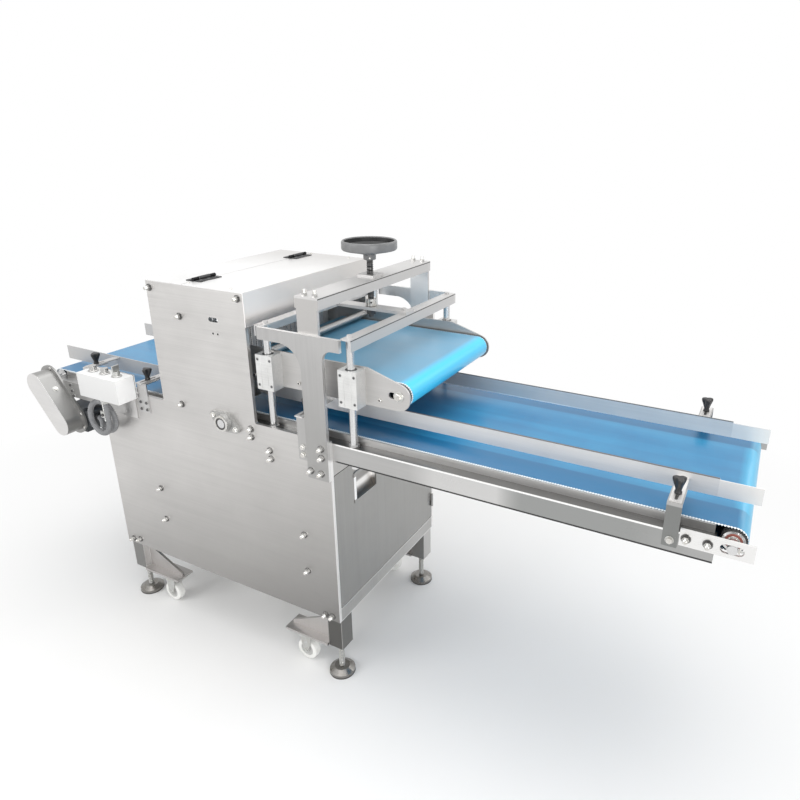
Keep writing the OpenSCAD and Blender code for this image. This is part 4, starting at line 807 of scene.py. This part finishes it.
SET_SCREW_WAY = (0.55, -0.83, 0)
collar = Batch()
collar.turn((LIFT_X, MIDDLE, 1072.4), UP, rim(8.1, 15.5, 0.1, 21.8, 1.2), bolt_steel, 48)
collar.turn((LIFT_X, MIDDLE, 1084), SET_SCREW_WAY, head(3.2, 14.6, 16.4, 0.5), black_moulding, 6)
collar.piece("lift_collar", "lift_wheel", "bright_steel")
threads("lift_thread", "lift_wheel", [(LIFT_X, MIDDLE, 1096)], 7.9, 5.0, 102, screw_steel)
threads("foot_threads", "frame",
        [(x, across(side, LEG_Y), 24) for side in BOTH for x in FEET_X], 7.8, 2.5, 72, zinc_plate)

for name, x, count, first_y in (("blade_frame_front", -421, 20, 90), ("blade_frame_rear", -459, 19, 100)):
    points = [(x + 7.4, first_y + 20 * k, z) for k in range(count) for z in (662, 1083)]
    made = grow(name + "_teeth", TEETH, points, [(2 * k, 2 * k + 1) for k in range(count)],
                {"Tooth pitch": 0.006, "Tooth depth": 0.0026, "Tooth thickness": 0.16,
                 "Tooth finish": bright_ground["z"]}, [(1, 0, 0)] * len(points))
    settle(made, name)

wheel_foot = (LIFT_X, MIDDLE, 1200)
wheel = Batch()
wheel.turn(wheel_foot, UP,
           [(0, 0), (15.5, 0), (17, 1.5), (17, 13), (20, 15.2), (65, 25.4), (69, 26), (72.5, 27), (74.4, 29),
            (75, 32), (75, 46), (74.4, 49), (73, 51.2), (71, 52), (69.2, 51.2), (68, 49), (67.4, 38),
            (64, 33), (55, 31), (22, 22), (18, 21.5), (17, 23.5), (15.5, 24.5), (0, 24.5)],
           wheel_moulding, 96)
# A dark lining inside the dish, painted shade in its hollow.
wheel.turn(wheel_foot, UP,
           [(18.4, 22), (22, 22.4), (55, 31.4), (63.7, 33.4), (67, 38.3), (67.6, 49), (68.4, 49.2),
            (67.5, 38), (64, 33), (55, 31), (22, 22)], dish_shade_lining, 96)
wheel.turn((LIFT_X, MIDDLE, 1224.4), UP, head(8.5, 0, 3.5, 0.9), bolt_steel, 6)
wheel.turn((LIFT_X, MIDDLE, 1206), SET_SCREW_WAY, head(2.6, 16.2, 18.2, 0.5), bolt_steel, 16)
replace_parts(wheel.piece("handwheel_dish", "lift_wheel", "dark_plastic", 30), "handwheel")


def wings(a, h):
    """Three wings that grow above the neck of a clamp knob."""
    return 1 + 0.27 * min(1, max(0, (h - 8) / 16)) * math.cos(3 * a)


def clamp_knob(name, x, y, seat):
    """A moulded clamp knob: a stud, a slim neck and a flared head with three wings."""
    at = (x, y, seat + 3.3)
    made = Batch()
    made.turn(at, UP, [(0, -15.3), (2.9, -15.3), (2.9, 0), (0, 0)], zinc_plate, 16)
    made.turn(at, UP, [(0, 0.1), (7.4, 0.1), (7.8, 0.8), (7.6, 4), (6.2, 7), (6.4, 9), (8.6, 17), (10.8, 25),
                       (11.8, 28.5), (12.0, 32), (11.4, 34.2), (9.4, 35.4), (5, 35.0), (0, 34.6)],
              black_moulding, 72, wings)
    return made.piece(name + "_moulding", name, "black_plastic", 40)


for line, seat, brackets in (("infeed", 840, ((832, 45, "outer"), (-84, 22, "inner"))),
                             ("outfeed", 823, ((-944, 45, "outer"), (-680, 22, "inner")))):
    for label, side in SIDES.items():
        for x, y, end in brackets:
            node = "_".join(("knob", line, label, end))
            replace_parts(clamp_knob(node, x, across(side, y), seat), node)

box_low, box_high = (-877, -70, 770), (-703, -3, 845)
shell = Batch()
shell.block(box_low, box_high, box_paint, 2.2)
shell.block((-860, -3, 700), (-720, 0, 828), sheet_ground["x"], 0.5)
shell.block((-877.4, -8.4, 769.6), (-702.6, -7.2, 845.4), black_moulding, 0.2)
for share in (0.2, 0.5, 0.8):
    x = box_low[0] + (box_high[0] - box_low[0]) * share
    shell.turn((x, -36.5, box_high[2]), UP, rim(11.1, 15, 0, 4, 1.0), head_steel, 40)
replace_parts(shell.piece("control_box_shell", "frame", "white_paint"), "control_box")

leaves, moving_leaves = Batch(), Batch()
for y in HINGES_Y:
    for batch, x0, x1, reach, edge in ((leaves, -483.3, -464, 39.5, 0.6),
                                       (moving_leaves, -450.5, -430.6, 39.5, 0.6),
                                       (moving_leaves, -453, -449.5, 19.3, 0.4)):
        batch.block((x0, y - reach, COVER_Z), (x1, y + reach, COVER_Z + 2.4), black_moulding, edge)
    moving_leaves.turn((-457, y, 1147.5), (0, 1, 0), rim(5.05, 5.4, -19.3, 19.3, 0.1), black_moulding)
leaves.piece("cover_hinge_leaves", "frame", "black_plastic")
moving_leaves.piece("cover_moving_leaves", "blade_cover", "black_plastic")
for label, body, x in (("cover_hinge_screws", "frame", -474), ("cover_leaf_screws", "blade_cover", -440)):
    cap_screws(label, body,
               [(x, y + dy, 1144.8, UP) for y in HINGES_Y for dy in (-28, 0, 28)], 3.4, 1.4, wheel_moulding)
cap_screws("cover_edge_screws", "blade_cover",
           [(x, across(side, 18), 1142.5, UP) for side in BOTH for x in (-450, -299)], 4.2, 2.4)

bracket_bolts = Batch()
for x, y, z, r in ((832, 7, 755, 7.2), (-84, -3, 730, 7.2), (-84, -3, 752, 7.2), (-944, 7, 735, 7.2),
                   (-692, -3, 740, 4.6), (-668, -3, 740, 4.6), (-692, -3, 762, 4.6), (-668, -3, 762, 4.6)):
    for side in BOTH:
        bracket_bolts.hex_bolt((x, across(side, y), z), outward(side), r * 0.6, r * 1.25, r,
                               (0, 1.5, r * 0.7 + 1.5), finish=bolt_steel if r > 6 else screw_steel)
bracket_bolts.piece("bracket_bolts", "frame", "bright_steel")


def bolt_faces(node):
    """The outer face's middle and the facing of every bolt in a node, from its mesh."""
    made = bmesh.new()
    made.from_mesh(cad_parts[node].data)
    bmesh.ops.remove_doubles(made, verts=made.verts, dist=1e-6)
    left, found = set(made.verts), {}
    while left:
        group, edge = set(), [left.pop()]
        while edge:
            v = edge.pop()
            group.add(v)
            near = [e.other_vert(v) for e in v.link_edges if e.other_vert(v) in left]
            left.difference_update(near)
            edge += near
        low = Vector([min(v.co[i] for v in group) for i in range(3)])
        high = Vector([max(v.co[i] for v in group) for i in range(3)])
        way = min(range(3), key=lambda i: high[i] - low[i])
        sign = -1 if way == 1 and low[1] < 0 else 1
        face = (low + high) / 2
        face[way] = low[way] if sign < 0 else high[way]
        key = tuple(round(c, 3) for i, c in enumerate(face) if i != way) + (way, sign)
        if key not in found or (face[way] - found[key][0][way]) * sign > 0:
            found[key] = (face, Vector([sign if i == way else 0 for i in range(3)]))
    made.free()
    return [found[key] for key in sorted(found)]


ridges = [(4.6 - 0.5 * (i % 2), 0.7 * i) for i in range(13)]
studs = Batch()
for face, way in bolt_faces("fasteners"):
    at = (face.x * 1000 + ORIGIN_X, face.y * 1000 + ORIGIN_Y, face.z * 1000)
    studs.turn(at, way, [(0, 0)] + ridges + [(3.6, 9.2), (0, 9.2)], bolt_steel, 16)
    studs.turn(at, way, rim(4.3, 6.6, 0, 0.5, 0.4), zinc_plate, 24)
studs.piece("bolt_ends", "frame", "bright_steel")

nuts, ribs = Batch(), Batch()
for side in BOTH:
    nuts.hex_bolt((PRESS_NOSE_X, across(side, 44), PRESS_Z), outward(side), 8.1, 14, 10.5, (0, 1.6, 8.6), 1.2)
    y0, y1 = sorted((across(side, 4.3), across(side, 5.2)))
    for post in POSTS_X:
        for x in (post - 10.5, post + 10.5):
            ribs.block((x - 0.9, y0, 890), (x + 0.9, y1, 980), block_alloy, 0.25)
nuts.piece("press_nose_nuts", "press_roller_front", "zinc_steel")
ribs.piece("block_ribs", "press_carriage", "cast_alloy")
cap_screws("press_plate_screws", "press_carriage",
           [(x, across(side, 44), 908, outward(side)) for side in BOTH for x in (128, -120, -270)], 5.2, 3.4)

guard_bolts = Batch()
for x, z, angles in ((OUTFEED_X, OUTFEED_Z, (75, 150, 215)), (MOTOR_X, MOTOR_Z, (-105, -30, 35))):
    for a in map(math.radians, angles):
        guard_bolts.turn((x + 44 * math.cos(a), 4, z + 44 * math.sin(a)), (0, -1, 0), head(4.6, 0, 3.2, 1.4),
                         bolt_steel, 24)
guard_bolts.hex_bolt((-1081.9, -20, 736.1), (0.794, 0, 0.608), 4, 9.5, 6.6, (0, 1.3, 6))
for x, z in ((-1043, 748), (-1040, 728), (-1037, 711)):
    guard_bolts.hex_bolt((x, 10, z), (0, -1, 0), 3, 6.4, 4.8, (0, 1.2, 5), 0.8, screw_steel)
guard_bolts.piece("guard_bolts", "frame", "zinc_steel")

tread = [(21.8, -12.3), (30.5, -12.3), (33.6, -11), (34.8, -8), (35, -4), (35, 4), (34.8, 8), (33.6, 11),
         (30.5, 12.3), (21.8, 12.3)]
hub = [(5.1, -12.4), (9, -12.4), (9.6, -9), (21.9, -9.6), (21.9, 9.6), (9.6, 9), (9, 12.4), (5.1, 12.4)]
for label, side in SIDES.items():
    for end, x in (("in", -150.3), ("out", -729.7)):
        node = "_".join(("castor_wheel", label, end))
        at, castor = (x, across(side, LEG_Y), 37), Batch()
        castor.turn(at, (0, 1, 0), tread, slide_plastic, 64)
        castor.turn(at, (0, 1, 0), hub, hub_plastic, 64)
        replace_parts(castor.piece(node + "_tread", node, "white_plastic"), node)

pads = Batch()
for side in BOTH:
    for x in FEET_X:
        pads.turn((x, across(side, LEG_Y), 0), UP, rim(30, 38.5, 0.2, 4.6, 1.3), tyre_rubber, 48)
pads.piece("foot_pads", "frame", "black_rubber")

glands = Batch()
for at, way, finish, nut_top, cap_top in ((BOX_GLAND, (0, 0, -1), zinc_plate, 9, 15),
                                          (TERMINAL, (1, 0, 0), black_moulding, 8, 13)):
    glands.turn(at, way, rim(9.5, 13.5, 0.2, nut_top, 0.8), finish, 6)
    glands.turn(at, way, rim(9.5, 12, nut_top, cap_top, 1.5), finish)
# The conduit's strap and clip, under the control box
glands.block((-817, -47, 688), (-811, -45.7, 769.8), slide_plastic, 0.4)
glands.block((-826, -51, 700), (-804, -44.6, 722), zinc_plate, 2.0)
glands.turn((-815, -51, 711), (0, -1, 0), head(5, 0, 4, 0.8), screw_steel, 6)
glands.piece("conduit_glands", "frame", "black_plastic")

adjusters = Batch()
for side in BOTH:
    y0, y1 = sorted((across(side, 4.4), across(side, 9.4)))
    adjusters.block((957.4, y0, 764), (961.5, y1, 775), bolt_steel, 0.5)
    adjusters.turn((961.5, across(side, 6.9), INFEED_Z), (1, 0, 0), head(2.1, 0, 7.2, 0.4), zinc_plate, 16)
adjusters.piece("tail_adjusters", "frame", "zinc_steel")

gear_trim = Batch()
for y in (22, 68):
    for z in (590, 666):
        gear_trim.turn((-1097, y, z), (-1, 0, 0), head(5.2, 0, 4.2, 0.9), zinc_plate, 6)
for r in (14, 24, 34, 44):
    gear_trim.turn((MOTOR_X, 280, MOTOR_Z), (0, 1, 0), rim(r - 3.2, r, 0, 1.4, 0.4), motor_paint, 48)
for a in (math.radians(60 * k) for k in range(6)):
    way = (math.cos(a), 0, math.sin(a))
    gear_trim.turn((MOTOR_X + 46 * way[0], 272, MOTOR_Z + 46 * way[2]), way, head(3, 2.4, 4.2, 0.6),
                   zinc_plate, 16)
x, y, z = TERMINAL
for dy in (-14, 14):
    for dz in (-24, 14):
        gear_trim.turn((x, y + dy, z + dz), (1, 0, 0), head(2.6, 0, 1.8, 0.6), zinc_plate, 16)
gear_trim.piece("gearmotor_trim", "frame", "zinc_steel")


# Light, floor and camera


def lamp(name, place, aim, size, power):
    """A rectangular area lamp that looks at a place."""
    light = bpy.data.lights.new(name, "AREA")
    light.shape, light.size, light.size_y, light.energy = "RECTANGLE", size[0], size[1], power
    holder = bpy.data.objects.new(name, light)
    bpy.context.scene.collection.objects.link(holder)
    holder.location = place
    holder.rotation_mode = "QUATERNION"
    holder.rotation_quaternion = (Vector(aim) - Vector(place)).to_track_quat("-Z", "Y")


def looked_at(wire):
    """1 on rays from the camera and on reflected or clear rays, and 0 on those that light the object."""
    seen = wire.node("ShaderNodeLightPath", out="Is Camera Ray")
    return wire.math("MINIMUM", seen + seen.also("Is Glossy Ray") + seen.also("Is Transmission Ray"), 1.0)


lamp("overhead", (0.1, -0.1, 3.4), (0, 0, 0.6), (4.0, 3.2), 82)
lamp("front_left", (-2.2, -3.2, 2.2), (-0.2, 0, 0.8), (2.2, 1.6), 48)
lamp("front_right", (2.7, -2.3, 1.3), (0.1, 0, 0.9), (1.4, 1.2), 40)
lamp("back_right", (2.6, 2.6, 2.6), (0, 0, 0.8), (2.0, 1.6), 18)

world = bpy.data.worlds.new("studio")
bpy.context.scene.world = world
world.use_nodes = True
sky = Wire(world.node_tree)
background = world.node_tree.nodes["Background"]
background.inputs["Color"].default_value = (1, 1, 1, 1)
sky.tree.links.new((0.5 + looked_at(sky) * 0.5).socket, background.inputs["Strength"])

floor_mesh = bpy.data.meshes.new("floor")
floor_mesh.from_pydata([(-12, -12, 0), (12, -12, 0), (12, 12, 0), (-12, 12, 0)], [], [(0, 1, 2, 3)])
floor = put("floor", floor_mesh)
pale, shader, place = begin_finish("pale_floor")
distance = place.node("ShaderNodeVectorMath", {"operation": "LENGTH"}, {0: place}, out="Value")
feed(shader, Base_Color=tinted(speckle(place, 0.8), (0.86, 0.86, 0.855), (0.90, 0.90, 0.895)))
fixed(shader, Roughness=0.7)
white = place.node("ShaderNodeEmission", (), {"Color": (1, 1, 1, 1), "Strength": 1.0})
mixed = place.node("ShaderNodeMixShader", (), {0: spread(distance, 0.9, 2.4) * looked_at(place),
                                               1: Wire(place.tree, shader.outputs[0]), 2: white})
place.tree.links.new(mixed.socket, place.tree.nodes["Material Output"].inputs["Surface"])
floor_mesh.materials.append(pale)

lens = bpy.data.cameras.new("camera")
lens.lens, lens.sensor_width = 29.29, 36
lens.shift_x, lens.shift_y = -0.0488, -0.0252
lens.clip_start, lens.clip_end = 0.05, 60
camera = bpy.data.objects.new("camera", lens)
bpy.context.scene.collection.objects.link(camera)
pose = Matrix.Translation((1.0368, -1.4501, 1.5146))
for angle, axis in ((27.4035, "Z"), (69.3964, "X"), (0.279, "Z")):
    pose = pose @ Matrix.Rotation(math.radians(angle), 4, axis)
camera.matrix_world = pose
bpy.context.scene.camera = camera
bpy.context.scene.view_settings.view_transform = "Standard"
